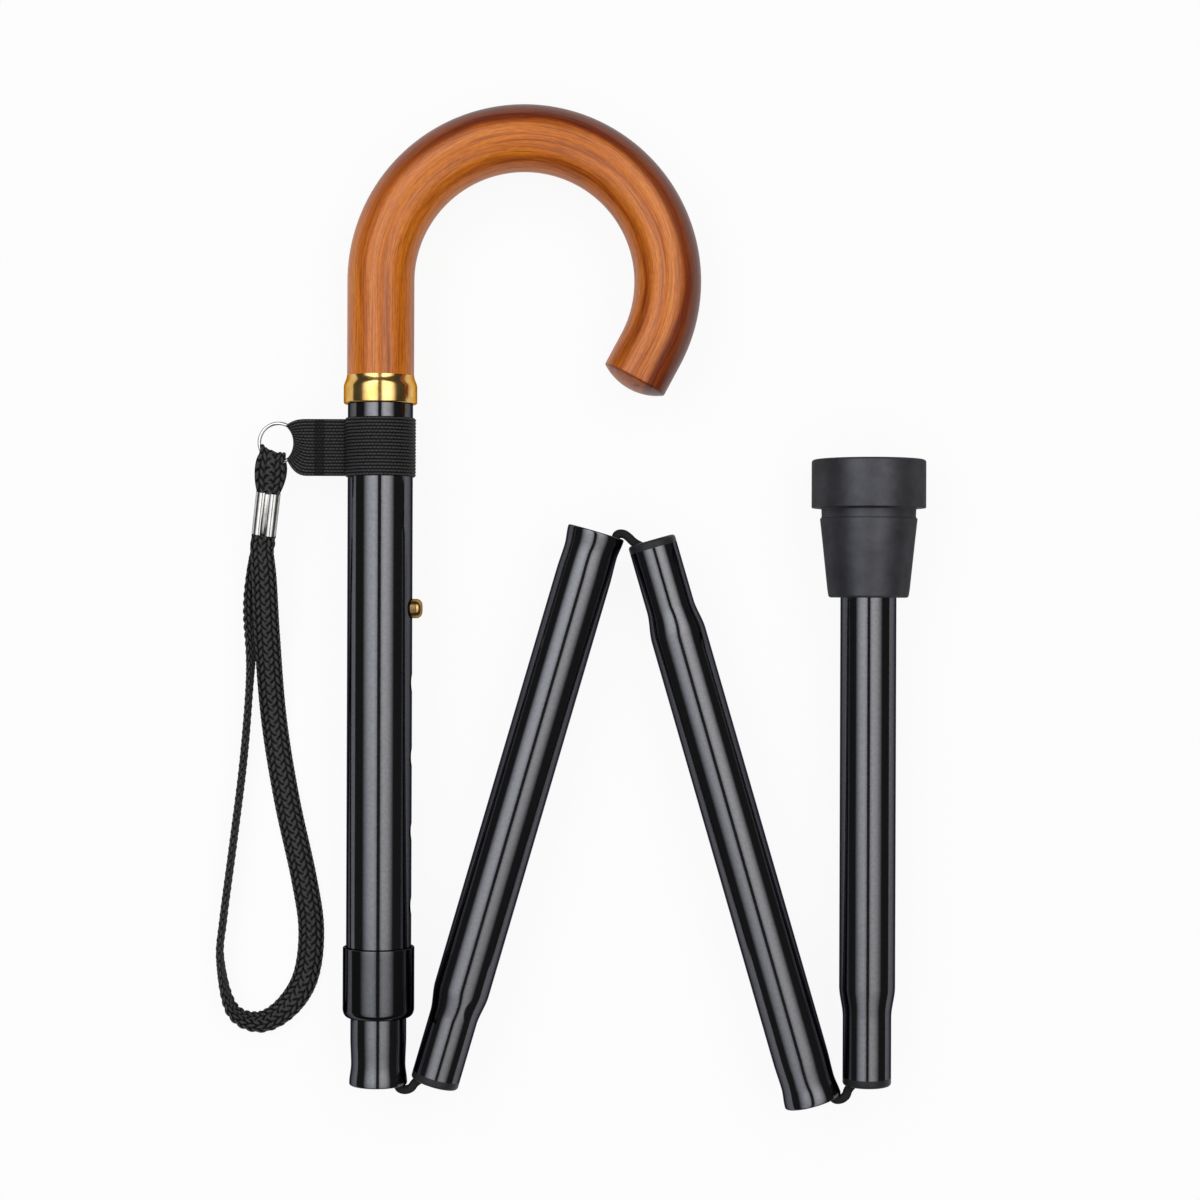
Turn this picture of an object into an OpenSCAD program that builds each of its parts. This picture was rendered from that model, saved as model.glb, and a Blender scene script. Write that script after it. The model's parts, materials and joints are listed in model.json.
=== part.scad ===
// Folding cane laid out flat, with a crook handle, four tube sections and a wrist strap.
// The shaft runs along +Y, the folded sections open towards +X, and +Z points up from the floor.

/* [Handle] */
// Diameter of the wooden handle
handle_d = 22.8; // [20:0.1:30]
// Radius of the crook's centre line
crook_r = 48.9; // [42:0.1:60]
// Angle that the crook turns through
crook_turn = 208; // [190:1:215]
// Straight length of the handle above its collar
shank_len = 32.4; // [20:0.1:60]
// Straight length after the crook's bend, to the crown of the handle's end
tail_len = 15.3; // [10:0.1:24]
// Rounding of the handle's rim at its end
tail_round = 0.8; // [0.4:0.1:3]
// Radius of the handle's domed end
tail_dome = 20; // [14:0.5:40]
// Length of the tenon inside the outer tube
tenon_len = 26; // [15:1:40]
// Height of the metal collar
collar_h = 9.6; // [6:0.1:16]
// Diameter of the metal collar at its widest
collar_d = 25; // [24.4:0.1:30]

/* [Tubes] */
// Outside diameter of the upper outer tube
outer_d = 22.2; // [21.8:0.1:22.6]
// Wall of the upper outer tube
outer_wall = 1.2; // [1:0.05:1.35]
// Length of the outer tube from the collar to its foot
outer_len = 205.1; // [200:0.1:240]
// Outside diameter of the folding sections
tube_d = 19.05; // [18.8:0.05:19.2]
// Wall of the folding sections
tube_wall = 1.15; // [1:0.05:1.3]
// Diameter of a section's flared mouth
mouth_d = 19.75; // [19.3:0.05:20]
// Diameter of the waist behind a mouth
waist_d = 18.5; // [18.3:0.05:18.8]
// Length of inner tube above its button
inner_above = 22.9; // [22:0.1:36]
// Length of the second section, from plug face to mouth
len_2 = 196; // [160:1:230]
// Length of the third section, from plug face to mouth
len_3 = 199; // [160:1:230]
// Length of the fourth section, from plug face to the tip's base
len_4 = 213.2; // [170:0.1:240]

/* [Spigots and plugs] */
// Straight length of a section's reduced end
spigot_len = 20.5; // [15:0.5:30]
// Length of the swage between the reduced end and the tube
swage_len = 10.4; // [6:0.2:16]
// Wall of the reduced end
spigot_wall = 1; // [0.8:0.05:1.2]
// Thickness of a plug's cap
cap_h = 2.8; // [2:0.1:4]
// Rounding of a plug's cap
cap_round = 1.1; // [0.4:0.1:1.2]
// Depth of the plug's funnel for the elastic cord
funnel_h = 6.5; // [5:0.1:9]
// Length of a plug's stem
stem_len = 12; // [9:0.5:18]

/* [Elastic cord] */
// Diameter of the elastic cord
elastic_d = 3; // [2.6:0.1:3.2]
// Length of each cord anchor
anchor_len = 12; // [8:1:20]
// Diameter of the knots
knot_d = 8; // [6:0.5:10]

/* [Folds] */
// Lean of the second section in degrees
lean_2 = 16.2; // [15:0.1:20]
// Lean of the third section in degrees
lean_3 = 16.3; // [15:0.1:20]
// Distance of the first fold's pivot from both axes
pivot_1 = 9.1; // [9:0.05:10]
// Distance of the second fold's pivot from both axes
pivot_2 = 8.9; // [8.8:0.05:10]
// Distance of the third fold's pivot from both axes
pivot_3 = 9.1; // [9:0.05:10]
// Distance from a mouth out to the pivot's level
pivot_out = 1.5; // [1.4:0.1:2.5]
// Distance of a plug's face behind the pivot's level
plug_back = 4.4; // [4:0.1:5]

/* [Height lock] */
// Pitch of the height holes
hole_pitch = 25.4; // [20:0.1:30]
// Number of height holes
hole_count = 5; // [3:1:5]
// Diameter of the height holes
hole_d = 7; // [6.8:0.1:7.6]
// Diameter of the button
button_d = 6.6; // [5:0.1:6.7]
// How far the button stands out of the outer tube
button_out = 3.4; // [2:0.1:4]
// Distance from the metal collar down to the top hole, as a share of the outer tube's length
hole_share = 0.33935; // [0.3:0.00005:0.4]
// Outside diameter of the lock collar
lock_d = 24.4; // [24.2:0.1:28]
// Height of the lock collar
lock_h = 23.9; // [18:0.1:30]
// Length of inner tube that shows below the lock collar
inner_show = 23; // [20:0.5:40]

/* [Wrist strap] */
// Width of the webbing band
band_w = 20; // [14:0.5:24]
// Thickness of the webbing
band_t = 1; // [0.8:0.1:1.2]
// Distance from the metal collar down to the band
band_drop = 4.8; // [2:0.1:10]
// Distance from the shaft's axis to the tab's end
tab_reach = 27.2; // [24:0.1:32]
// Outside diameter of the ring
ring_d = 14.4; // [13:0.1:17]
// Diameter of the ring's wire
wire_d = 1.25; // [1:0.05:1.5]
// Length of the crimp ferrule
ferrule_len = 15; // [12:0.5:18]
// Width of the crimp ferrule
ferrule_w = 8.4; // [7:0.1:9]
// Thickness of the crimp ferrule
ferrule_t = 4.6; // [4:0.1:5.5]
// Width of the wrist cord's flat braid
braid_w = 9.5; // [7:0.5:10]
// Thickness of the wrist cord's flat braid
braid_t = 2.4; // [1.8:0.1:3]

/* [Rubber tip] */
// Diameter of the tip's base
tip_d = 38.9; // [32:0.1:46]
// Height of the tip's base disc
tip_base_h = 16.5; // [10:0.1:22]
// Diameter in the groove above the base
groove_d = 32.2; // [28:0.1:34]
// Height of the groove
groove_h = 3.4; // [2:0.1:6]
// Diameter of the tip's cone next to the groove
cone_d = 33.1; // [30:0.1:36]
// Diameter at the top of the tip's cone
cone_top_d = 27.4; // [25:0.1:30]
// Height of the tip's cone
cone_h = 27.1; // [20:0.1:36]
// Thickness of rubber under the tube
tip_sole = 12; // [8:0.5:18]

/* [Hidden] */
$fn = 64;
// Running clearance of sliding pieces, on the radius
slide_gap = 0.12;
// Clearance between pieces that move past each other
move_gap = 0.3;
// Clearance between pieces that are pushed together
seat_gap = 0.05;
// Length by which every cut passes its face
over = 1;
// Steps in a curved stretch of a turned outline
blend_steps = 8;
// Sides and steps of a swept cord
cord_sides = 8;
cord_steps = 3;

// Radii shared by the sliding and plugged fits
tube_r = tube_d / 2;
bore_r = tube_r - tube_wall;
outer_bore_r = outer_d / 2 - outer_wall;
spigot_r = bore_r - slide_gap;
spigot_bore_r = spigot_r - spigot_wall;
elastic_r = elastic_d / 2;
cord_hole_r = elastic_r + move_gap;
insert_len = cap_h + spigot_len;

// Heights along the shaft, measured from the inner tube's mouth
lock_y = inner_show;
lock_lip = 2;
bush_h = 10;
outer_y = lock_y + lock_lip + bush_h;
outer_top_y = outer_y + outer_len;
collar_lip = 1.2;
collar_y = outer_top_y - collar_h + collar_lip;
handle_y = collar_y + collar_h;
arc_y = handle_y + shank_len;
hole_y = collar_y - outer_len * hole_share;
inner_len = hole_y + inner_above;
band_y = collar_y - band_drop - band_w;
crook_top_y = arc_y + crook_r + handle_d / 2;

// A direction in the layout plane and a point a given way along it
function way(a) = [cos(a), sin(a)];
function go(p, a, s) = p + s * way(a);

// Directions from each section's plug to its mouth, and the fold angles between sections
dir_2 = 90 - lean_2;
dir_3 = -90 + lean_3;
dir_4 = 90;
fold_1 = lean_2;
fold_2 = lean_2 + lean_3;
fold_3 = lean_3;

// Fold pivots and plug faces; side is +1 where the next section lies left of the way out of the mouth
function pivot_of(mouth, out, side, d) = go(go(mouth, out, pivot_out), out + side * 90, d);
function plug_of(pivot, dir, side, d) = go(go(pivot, dir - side * 90, d), dir, plug_back);
mouth_1 = [0, 0];
pivot_p1 = pivot_of(mouth_1, -90, 1, pivot_1);
face_2 = plug_of(pivot_p1, dir_2, 1, pivot_1);
mouth_2 = go(face_2, dir_2, len_2);
pivot_p2 = pivot_of(mouth_2, dir_2, -1, pivot_2);
face_3 = plug_of(pivot_p2, dir_3, -1, pivot_2);
mouth_3 = go(face_3, dir_3, len_3);
pivot_p3 = pivot_of(mouth_3, dir_3, 1, pivot_3);
face_4 = plug_of(pivot_p3, dir_4, 1, pivot_3);
tip_face = go(face_4, dir_4, len_4);

// Ring in the tab's loop, and the ferrule below it
ring_r = (ring_d - wire_d) / 2;
loop_w = 6;
ring_sag = ring_r - sqrt(ring_r * ring_r - loop_w * loop_w / 4);
loop_bore_r = wire_d / 2 + ring_sag / 2 + move_gap;
loop_r = loop_bore_r + band_t;
loop_x = -tab_reach - loop_bore_r;
ring_x = loop_x + ring_sag / 2 - ring_r;
ring_share = 0.58;
ring_y = band_y + band_w * ring_share;
eye_turn = 250;
eye_p = go([ring_x, ring_y], eye_turn, ring_r);
strap_lean = 262;
eye_len = 11;
ferrule_dip = 13;
strap_way = [cos(strap_lean) * cos(ferrule_dip), sin(strap_lean) * cos(ferrule_dip), -sin(ferrule_dip)];
eye_in_r = 1.9;
eye_t = 2;
eye_w = 3;

// The part's box, without the strap's cord, sets the origin under its middle
axis_z = tip_d / 2;
box_x0 = ring_x - ring_d / 2;
box_x1 = tip_face[0] + tip_d / 2;
box_y0 = mouth_3[1] - mouth_d / 2 * sin(lean_3);
box_y1 = crook_top_y;
mid = [(box_x0 + box_x1) / 2, (box_y0 + box_y1) / 2];

// Puts the layout's parts at their place over the floor
module placed() {
    translate([-mid[0], -mid[1], axis_z]) children();
}

// Turns a solid built along +Z so that it runs from p in direction a
module axial(p, a) {
    translate([p[0], p[1], 0]) rotate(a) rotate([0, 90, 0]) children();
}

// A smooth step between two radii, as points of a turned outline
function ease(t) = t * t * (3 - 2 * t);
function blend_pts(z0, z1, r0, r1) = [
    for (i = [0 : blend_steps]) [r0 + (r1 - r0) * ease(i / blend_steps), z0 + (z1 - z0) * i / blend_steps]
];

// A quarter round from the end of a turned outline, with its centre at [r, z]
function round_pts(r, z, f, a0, a1) = [
    for (i = [0 : blend_steps]) [r, z] + f * way(a0 + (a1 - a0) * i / blend_steps)
];

module turned(pts) {
    rotate_extrude() polygon(pts);
}

// Sizes of a flared mouth
mouth_flare = 7;
waist_len = 9;

// Outside of a section's open end, up to a length
function mouth_pts(length) = concat(
    blend_pts(length - mouth_flare - waist_len, length - mouth_flare, tube_r, waist_d / 2),
    blend_pts(length - mouth_flare, length, waist_d / 2, mouth_d / 2)
);

// Handle

// Step by which the handle's straight stretches are slimmer than its bend
bend_step = 0.1;

module crook_handle() {
    tail_dir = 90 - crook_turn;
    tail_p = [crook_r, arc_y] + crook_r * way(180 - crook_turn);
    hr = handle_d / 2;
    sr = hr - bend_step;
    lip_r = sr - tail_round;
    lip_a = acos(lip_r / (tail_dome - tail_round));
    dome_z = tail_len - tail_dome;
    lip_z = dome_z + (tail_dome - tail_round) * sin(lip_a);
    tr = outer_bore_r - seat_gap;
    color("peru") placed() {
        axial([0, handle_y], 90) turned([
            [0, -tenon_len], [tr, -tenon_len], [tr, 0], [sr, 0], [sr, shank_len + over], [0, shank_len + over]
        ]);
        translate([crook_r, arc_y, 0]) rotate(180 - crook_turn) rotate_extrude(angle = crook_turn)
            translate([crook_r, 0]) circle(r = hr);
        axial(tail_p, tail_dir) turned(concat(
            [[0, -over], [sr, -over]],
            round_pts(lip_r, lip_z, tail_round, 0, lip_a),
            round_pts(0, dome_z, tail_dome, lip_a + 3, 87),
            [[0, tail_len]]
        ));
    }
}

module handle_collar() {
    cr = collar_d / 2;
    hr = handle_d / 2;
    belly_share = 0.6;
    edge = 0.6;
    foot_r = outer_d / 2 + seat_gap;
    color("goldenrod") placed() axial([0, collar_y], 90) difference() {
        turned(concat(
            [[0, 0], [cr - edge, 0]],
            round_pts(cr - edge, edge, edge, -90, 0),
            [[cr, collar_h * belly_share]],
            blend_pts(collar_h * belly_share, collar_h, cr, hr + seat_gap),
            [[0, collar_h]]
        ));
        translate([0, 0, -over]) cylinder(r = foot_r, h = collar_h - collar_lip + over);
        translate([0, 0, -over]) cylinder(r = outer_bore_r, h = collar_h + over * 2);
    }
}

module outer_tube() {
    color("#17171a") placed() difference() {
        axial([0, outer_y], 90) difference() {
            cylinder(d = outer_d, h = outer_len);
            translate([0, 0, -over]) cylinder(r = outer_bore_r, h = outer_len + over * 2);
        }
        for (i = [0 : hole_count - 1])
            axial([0, hole_y - i * hole_pitch], 0) cylinder(d = hole_d, h = outer_d);
    }
}

// Height lock

module collet_bush() {
    color("dimgray") placed() axial([0, lock_y + lock_lip], 90) difference() {
        cylinder(d = outer_d, h = bush_h);
        translate([0, 0, -over]) cylinder(r = tube_r + slide_gap, h = bush_h + over * 2);
    }
}

module lock_collar() {
    lr = lock_d / 2;
    edge = 0.9;
    color("#1b1b1e") placed() axial([0, lock_y], 90) difference() {
        turned(concat(
            [[0, 0]],
            round_pts(lr - edge, edge, edge, -90, 0),
            round_pts(lr - edge / 2, lock_h - edge / 2, edge / 2, 0, 90),
            [[0, lock_h]]
        ));
        translate([0, 0, -over]) cylinder(r = tube_r + move_gap, h = lock_h + over * 2);
        translate([0, 0, lock_lip - seat_gap]) cylinder(r = outer_d / 2 + slide_gap, h = lock_h + over);
    }
}

module inner_tube() {
    color("#17171a") placed() difference() {
        axial([0, inner_len], -90) difference() {
            turned(concat([[0, 0], [tube_r, 0]], mouth_pts(inner_len), [[0, inner_len]]));
            translate([0, 0, -over]) cylinder(r = bore_r, h = inner_len + over * 2);
        }
        axial([0, hole_y], 0) cylinder(d = hole_d, h = tube_d);
    }
}

module guide_bush() {
    flange_h = 2.5;
    stem_h = 10;
    hole_r = 4;
    color("dimgray") placed() axial([0, inner_len], 90) difference() {
        union() {
            cylinder(r = outer_bore_r - slide_gap, h = flange_h);
            translate([0, 0, -stem_h]) cylinder(r = bore_r - seat_gap, h = stem_h + seat_gap);
        }
        translate([0, 0, -stem_h - over]) cylinder(r = hole_r, h = stem_h + flange_h + over * 2);
    }
}

// Places across the shaft for the button's flange and the leaf spring behind it
flange_w = 8.4;
flange_t = 1.1;
flange_x = sqrt(bore_r * bore_r - flange_w * flange_w / 4) - slide_gap;
spring_w = 6;
spring_t = 0.6;
spring_x0 = -sqrt(bore_r * bore_r - spring_w * spring_w / 4) + move_gap;
spring_x1 = flange_x - flange_t - slide_gap;

module height_button() {
    br = button_d / 2;
    top = outer_d / 2 + button_out - flange_x;
    crown = 2;
    color("darkgoldenrod") placed() axial([flange_x, hole_y], 0) turned(concat(
        [[0, -flange_t], [flange_w / 2, -flange_t], [flange_w / 2, 0], [br, 0]],
        round_pts(br - crown, top - crown, crown, 0, 90),
        [[0, top]]
    ));
}

module button_spring() {
    bend_r = (spring_x1 - spring_x0) / 2;
    leaf_up = 5;
    leaf_down = 14;
    color("silver") placed() translate([0, hole_y, 0]) {
        for (x = [spring_x0, spring_x1 - spring_t])
            translate([x, -leaf_down, -spring_w / 2]) cube([spring_t, leaf_down + leaf_up, spring_w]);
        translate([spring_x0 + bend_r, -leaf_down, 0]) rotate(180) rotate_extrude(angle = 180)
            translate([bend_r - spring_t, -spring_w / 2]) square([spring_t, spring_w]);
    }
}

// Elastic cord's anchors

anchor_drop = 50;
anchor_y = hole_y - anchor_drop;

// A plug with a cord hole, pressed in a bore of radius r, from z = 0 up
module cord_anchor(r) {
    difference() {
        cylinder(r = r - seat_gap, h = anchor_len);
        translate([0, 0, -over]) cylinder(r = cord_hole_r, h = anchor_len + over * 2);
    }
}

module upper_anchor() {
    color("dimgray") placed() axial([0, anchor_y], 90) cord_anchor(bore_r);
}

// A knot resting on its anchor, cut flat where it sits
module knot() {
    sunk_share = 0.3;
    difference() {
        translate([0, 0, knot_d * (0.5 - sunk_share)]) sphere(d = knot_d);
        translate([0, 0, -knot_d]) cylinder(d = knot_d * 2, h = knot_d);
    }
}

module upper_knot() {
    color("#202020") placed() axial([0, anchor_y + anchor_len], 90) knot();
}

// Folding sections

// Outside of a section's reduced end and swage
function spigot_pts() = concat(
    [[0, cap_h], [spigot_r, cap_h]],
    blend_pts(insert_len, insert_len + swage_len, spigot_r, tube_r)
);

// Bore through the reduced end and the swage, then the tube
module section_bore(length) {
    turned(concat(
        [[0, cap_h - over], [spigot_bore_r, cap_h - over]],
        blend_pts(insert_len, insert_len + swage_len, spigot_bore_r, bore_r),
        [[bore_r, length + over], [0, length + over]]
    ));
}

module section_tube(length) {
    difference() {
        turned(concat(spigot_pts(), mouth_pts(length), [[0, length]]));
        section_bore(length);
    }
}

funnel_r = spigot_r - cap_round - seat_gap;

module section_plug() {
    difference() {
        union() {
            turned(concat(
                [[0, 0]],
                round_pts(spigot_r - cap_round, cap_round, cap_round, -90, 0),
                [[spigot_r, cap_h], [0, cap_h]]
            ));
            cylinder(r = spigot_bore_r - seat_gap, h = cap_h + stem_len);
        }
        turned([[0, -over], [funnel_r, -over], [funnel_r, 0], [cord_hole_r, funnel_h], [0, funnel_h]]);
        cylinder(r = cord_hole_r, h = cap_h + stem_len + over);
    }
}

module tube_2() {
    color("#17171a") placed() axial(face_2, dir_2) section_tube(len_2);
}

module plug_2() {
    color("#2a2a2d") placed() axial(face_2, dir_2) section_plug();
}

module tube_3() {
    color("#17171a") placed() axial(face_3, dir_3) section_tube(len_3);
}

module plug_3() {
    color("#2a2a2d") placed() axial(face_3, dir_3) section_plug();
}

tube_4_len = len_4 - tip_sole;

module tube_4() {
    color("#17171a") placed() axial(face_4, dir_4) difference() {
        turned(concat(spigot_pts(), [[tube_r, tube_4_len], [0, tube_4_len]]));
        section_bore(tube_4_len);
    }
}

module plug_4() {
    color("#2a2a2d") placed() axial(face_4, dir_4) section_plug();
}

// Elastic cord

// Depth at which the cord is back on a section's axis, behind a mouth and behind a plug's face
mouth_run = 40;
plug_run = 12;

module elastic_run(p, a, length) {
    color("#101010") placed() axial(go(p, a, seat_gap), a) cylinder(r = elastic_r, h = length - 2 * seat_gap);
}

module elastic_1() {
    elastic_run([0, mouth_run], 90, anchor_y + anchor_len - mouth_run);
}

module elastic_2() {
    elastic_run(go(face_2, dir_2, plug_run), dir_2, len_2 - mouth_run - plug_run);
}

module elastic_3() {
    elastic_run(go(face_3, dir_3, plug_run), dir_3, len_3 - mouth_run - plug_run);
}

lower_anchor_z = tube_4_len - anchor_len - knot_d;

module elastic_4() {
    elastic_run(go(face_4, dir_4, plug_run), dir_4, lower_anchor_z + anchor_len - plug_run);
}

module lower_anchor() {
    color("dimgray") placed() axial(go(face_4, dir_4, lower_anchor_z), dir_4) cord_anchor(bore_r);
}

module lower_knot() {
    color("#202020") placed() axial(go(face_4, dir_4, lower_anchor_z + anchor_len), dir_4) knot();
}

// A smooth curve through points that also carry a section's width, thickness and roll
function spline_at(p0, p1, p2, p3, t) =
    (2 * p1 + (p2 - p0) * t + (2 * p0 - 5 * p1 + 4 * p2 - p3) * t * t
    + (3 * p1 - p0 - 3 * p2 + p3) * t * t * t) / 2;
function spline(pts, steps) = concat([
    for (i = [0 : len(pts) - 2], k = [0 : steps - 1])
        spline_at(pts[max(i - 1, 0)], pts[i], pts[i + 1], pts[min(i + 2, len(pts) - 1)], k / steps)
], [pts[len(pts) - 1]]);

function unit(v) = v / norm(v);
function xyz(p) = [p[0], p[1], p[2]];
function tangent(pts, i) = unit(xyz(pts[min(i + 1, len(pts) - 1)]) - xyz(pts[max(i - 1, 0)]));

// One ring of a swept cord: side lies level, and roll turns it about the way along
function cord_ring(p, t) =
    let (side = unit(cross(t, [0, 0, 1])), up = cross(side, t), c = cos(p[5]), s = sin(p[5]))
    [for (k = [0 : cord_sides - 1])
        let (q = way((k + 0.5) * 360 / cord_sides), u = q[0] * p[3] / 2, v = q[1] * p[4] / 2)
        xyz(p) + (u * c - v * s) * side + (u * s + v * c) * up];

// One closed solid along a route of [x, y, z, width, thickness, roll]
module swept(route) {
    n = len(route);
    m = cord_sides;
    points = [for (i = [0 : n - 1]) each cord_ring(route[i], tangent(route, i))];
    sides = [for (i = [0 : n - 2], k = [0 : m - 1])
        let (a = i * m + k, b = i * m + (k + 1) % m) each [[a, b, b + m], [a, b + m, a + m]]];
    ends = concat(
        [for (k = [1 : m - 2]) [0, k + 1, k]],
        [for (k = [1 : m - 2]) [(n - 1) * m, (n - 1) * m + k, (n - 1) * m + k + 1]]
    );
    polyhedron(points, concat(sides, ends));
}

// Where the cord bends over a mouth's lip and down a plug's funnel, seen from the mouth:
// u runs towards the next section and v out of the mouth
cord_room = elastic_r + move_gap / 2;
drift_shares = [[0, 1], [0, 0.94], [0, 0.88], [0.25, 0.65], [0.75, 0.3]];
settle_shares = [0.055, 0.4, 1];
funnel_share = [0.42, 0.46];
lip_share = [0.25, 0.7];
past_share = [0.8, 0.8];
function bend_uv(fold, d) =
    let (
        across = way(fold),
        out = [-sin(fold), cos(fold)],
        face = [d, pivot_out] + d * across - plug_back * out,
        slope = atan((funnel_r - cord_hole_r) / funnel_h),
        slip = funnel_r - cord_room / cos(slope),
        inside = bore_r - cord_room,
        lip = (bore_r + mouth_d / 2) / 2,
        over_plug = face - (slip + cord_room * tan(slope)) * across + cord_room * out
    )
    [
        for (k = drift_shares) [inside * k[0], -mouth_run * k[1]],
        [inside, -cord_room],
        [inside, 0] + cord_room * lip_share,
        [lip, cord_room + move_gap],
        [mouth_d / 2, 0] + cord_room * past_share,
        over_plug,
        face - slip * across,
        face - slip * (funnel_share[0] * across + funnel_share[1] / tan(slope) * out),
        for (k = settle_shares) face - (funnel_h + (plug_run - funnel_h) * k) * out
    ];

// The bend's route laid out from a mouth; side is as for the pivots
module cord_bend(mouth, dir, side, fold, d) {
    flat = [for (p = bend_uv(fold, d)) go(go(mouth, dir, p[1]), dir + side * 90, p[0])];
    route = [for (p = flat) [p[0], p[1], 0, elastic_d, elastic_d, 0]];
    color("#101010") placed() swept(spline(route, cord_steps));
}

module cord_bend_1() {
    cord_bend(mouth_1, -90, 1, fold_1, pivot_1);
}

module cord_bend_2() {
    cord_bend(mouth_2, dir_2, -1, fold_2, pivot_2);
}

module cord_bend_3() {
    cord_bend(mouth_3, dir_3, 1, fold_3, pivot_3);
}

// Rubber tip

module rubber_tip() {
    tr = tip_d / 2;
    edge = 1;
    z1 = tip_base_h;
    z2 = z1 + groove_h;
    z3 = z2 + cone_h;
    color("#26282b") placed() axial(tip_face, -90) difference() {
        turned(concat(
            [[0, 0]],
            round_pts(tr - edge, edge, edge, -90, 0),
            round_pts(tr - edge, z1 - edge, edge, 0, 90),
            [[groove_d / 2, z1], [groove_d / 2, z2], [cone_d / 2, z2]],
            round_pts(cone_top_d / 2 - edge, z3 - edge, edge, 0, 90),
            [[0, z3]]
        ));
        translate([0, 0, tip_sole - washer_h - seat_gap]) cylinder(r = tube_r + seat_gap, h = z3);
    }
}

washer_h = 2;

module tip_washer() {
    color("silver") placed() axial(go(tip_face, -90, tip_sole - washer_h), -90)
        cylinder(r = tube_r, h = washer_h);
}

// Wrist strap

module strap_band() {
    ring_in = outer_d / 2 + seat_gap;
    tab_t = band_t * 2;
    color("#1a1a1a") placed() difference() {
        union() {
            axial([0, band_y], 90) cylinder(r = ring_in + band_t, h = band_w);
            translate([-tab_reach, band_y, -tab_t / 2]) cube([tab_reach, band_w, tab_t]);
            translate([loop_x, ring_y - loop_w / 2, 0]) rotate([-90, 0, 0]) cylinder(r = loop_r, h = loop_w);
        }
        axial([0, band_y - over], 90) cylinder(r = ring_in, h = band_w + over * 2);
        translate([loop_x, ring_y - loop_w / 2 - over, 0]) rotate([-90, 0, 0])
            cylinder(r = loop_bore_r, h = loop_w + over * 2);
    }
}

module strap_ring() {
    color("silver") placed() translate([ring_x, ring_y, 0])
        rotate_extrude() translate([ring_r, 0]) circle(d = wire_d);
}

// Lays a solid built along +Z from the ring's eye towards the wrist cord, dipping to the floor
module along_strap(s) {
    translate([eye_p[0], eye_p[1], 0]) rotate(strap_lean) rotate([0, 90 + ferrule_dip, 0])
        translate([0, 0, s]) children();
}

module strap_ferrule() {
    lobe = ferrule_t / 2;
    color("silver") placed() along_strap(eye_len) linear_extrude(ferrule_len)
        for (s = [-1, 1]) translate([0, s * (ferrule_w / 2 - lobe)]) circle(r = lobe);
}

module cord_eye() {
    r1 = eye_in_r;
    r2 = eye_in_r + eye_t;
    color("#151515") placed() along_strap(0) {
        rotate([90, 0, 0]) translate([0, 0, -eye_w / 2]) linear_extrude(eye_w) {
            difference() {
                circle(r = r2);
                circle(r = r1);
                translate([-r2 - over, 0]) square([r2 * 2 + over * 2, r2 + over]);
            }
            for (s = [-1, 1]) translate([s * (r1 + eye_t / 2) - eye_t / 2, 0]) square([eye_t, eye_len]);
        }
    }
}

// Wrist cord's route: [x, y, height over the floor, width share, thickness share, roll]
cord_route = [
    [-40.4, 172, 12.5, 0.95, 1, 0], [-40, 151.8, 7.5, 1, 1, 0], [-38.3, 123.1, 1.8, 1, 1, 0],
    [-33.8, 95.5, 1.5, 1, 1, 0], [-27.7, 67.9, 1.5, 1, 1, 0], [-25.1, 49.6, 1.5, 1, 1, 0],
    [-27.2, 33.2, 1.5, 1, 1, 0],
    [-34.1, 22.7, 3, 1, 1, -25], [-43.1, 18.4, 4.6, 1, 1, -50], [-52.2, 23.1, 5.2, 1, 1, -75],
    [-56.2, 39.9, 5.2, 1, 1, -90], [-55.2, 54.1, 5.2, 1, 1, -90], [-51.7, 81.6, 5.2, 1, 1, -90],
    [-48.3, 110.1, 5.2, 1, 1, -90], [-46, 139.6, 6, 1, 1, -88], [-45.4, 160, 6.3, 0.95, 1, -58],
    [-43.3, 173, 8.9, 0.9, 1, -26]
];

// A leg of the cord as it leaves the ferrule's foot, one over the other, at a length along the strap
strap_side = [-sin(strap_lean), cos(strap_lean), 0];
strap_up = cross(strap_way, strap_side);
function ferrule_leg(side, s) =
    let (p = [eye_p[0], eye_p[1], 0] + (eye_len + ferrule_len + s) * strap_way + side * ferrule_t / 4 * strap_up)
    [p[0], p[1], p[2], ferrule_w, ferrule_t / 2 - seat_gap * 2, 0];

module wrist_cord() {
    leave = braid_t * 2;
    laid = [for (p = cord_route)
        [p[0], p[1], p[2] - axis_z, p[3] * braid_w, p[4] * braid_t, p[5]]];
    route = concat(
        [for (s = [0, leave / 2, leave]) ferrule_leg(1, s)],
        laid,
        [for (s = [leave, leave / 2, 0]) ferrule_leg(-1, s)]
    );
    color("#151515") placed() swept(spline(route, cord_steps));
}

crook_handle();
handle_collar();
outer_tube();
collet_bush();
lock_collar();
strap_band();
strap_ring();
strap_ferrule();
cord_eye();
wrist_cord();
inner_tube();
guide_bush();
height_button();
button_spring();
upper_anchor();
upper_knot();
tube_2();
plug_2();
tube_3();
plug_3();
tube_4();
plug_4();
elastic_1();
cord_bend_1();
elastic_2();
cord_bend_2();
elastic_3();
cord_bend_3();
elastic_4();
lower_anchor();
lower_knot();
rubber_tip();
tip_washer();
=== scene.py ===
import json
from math import acos, atan, atan2, copysign, cos, degrees, dist, exp, floor, pi, radians, sin, sqrt, tan

import bpy
import numpy as np
from mathutils import Matrix, Vector


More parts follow.
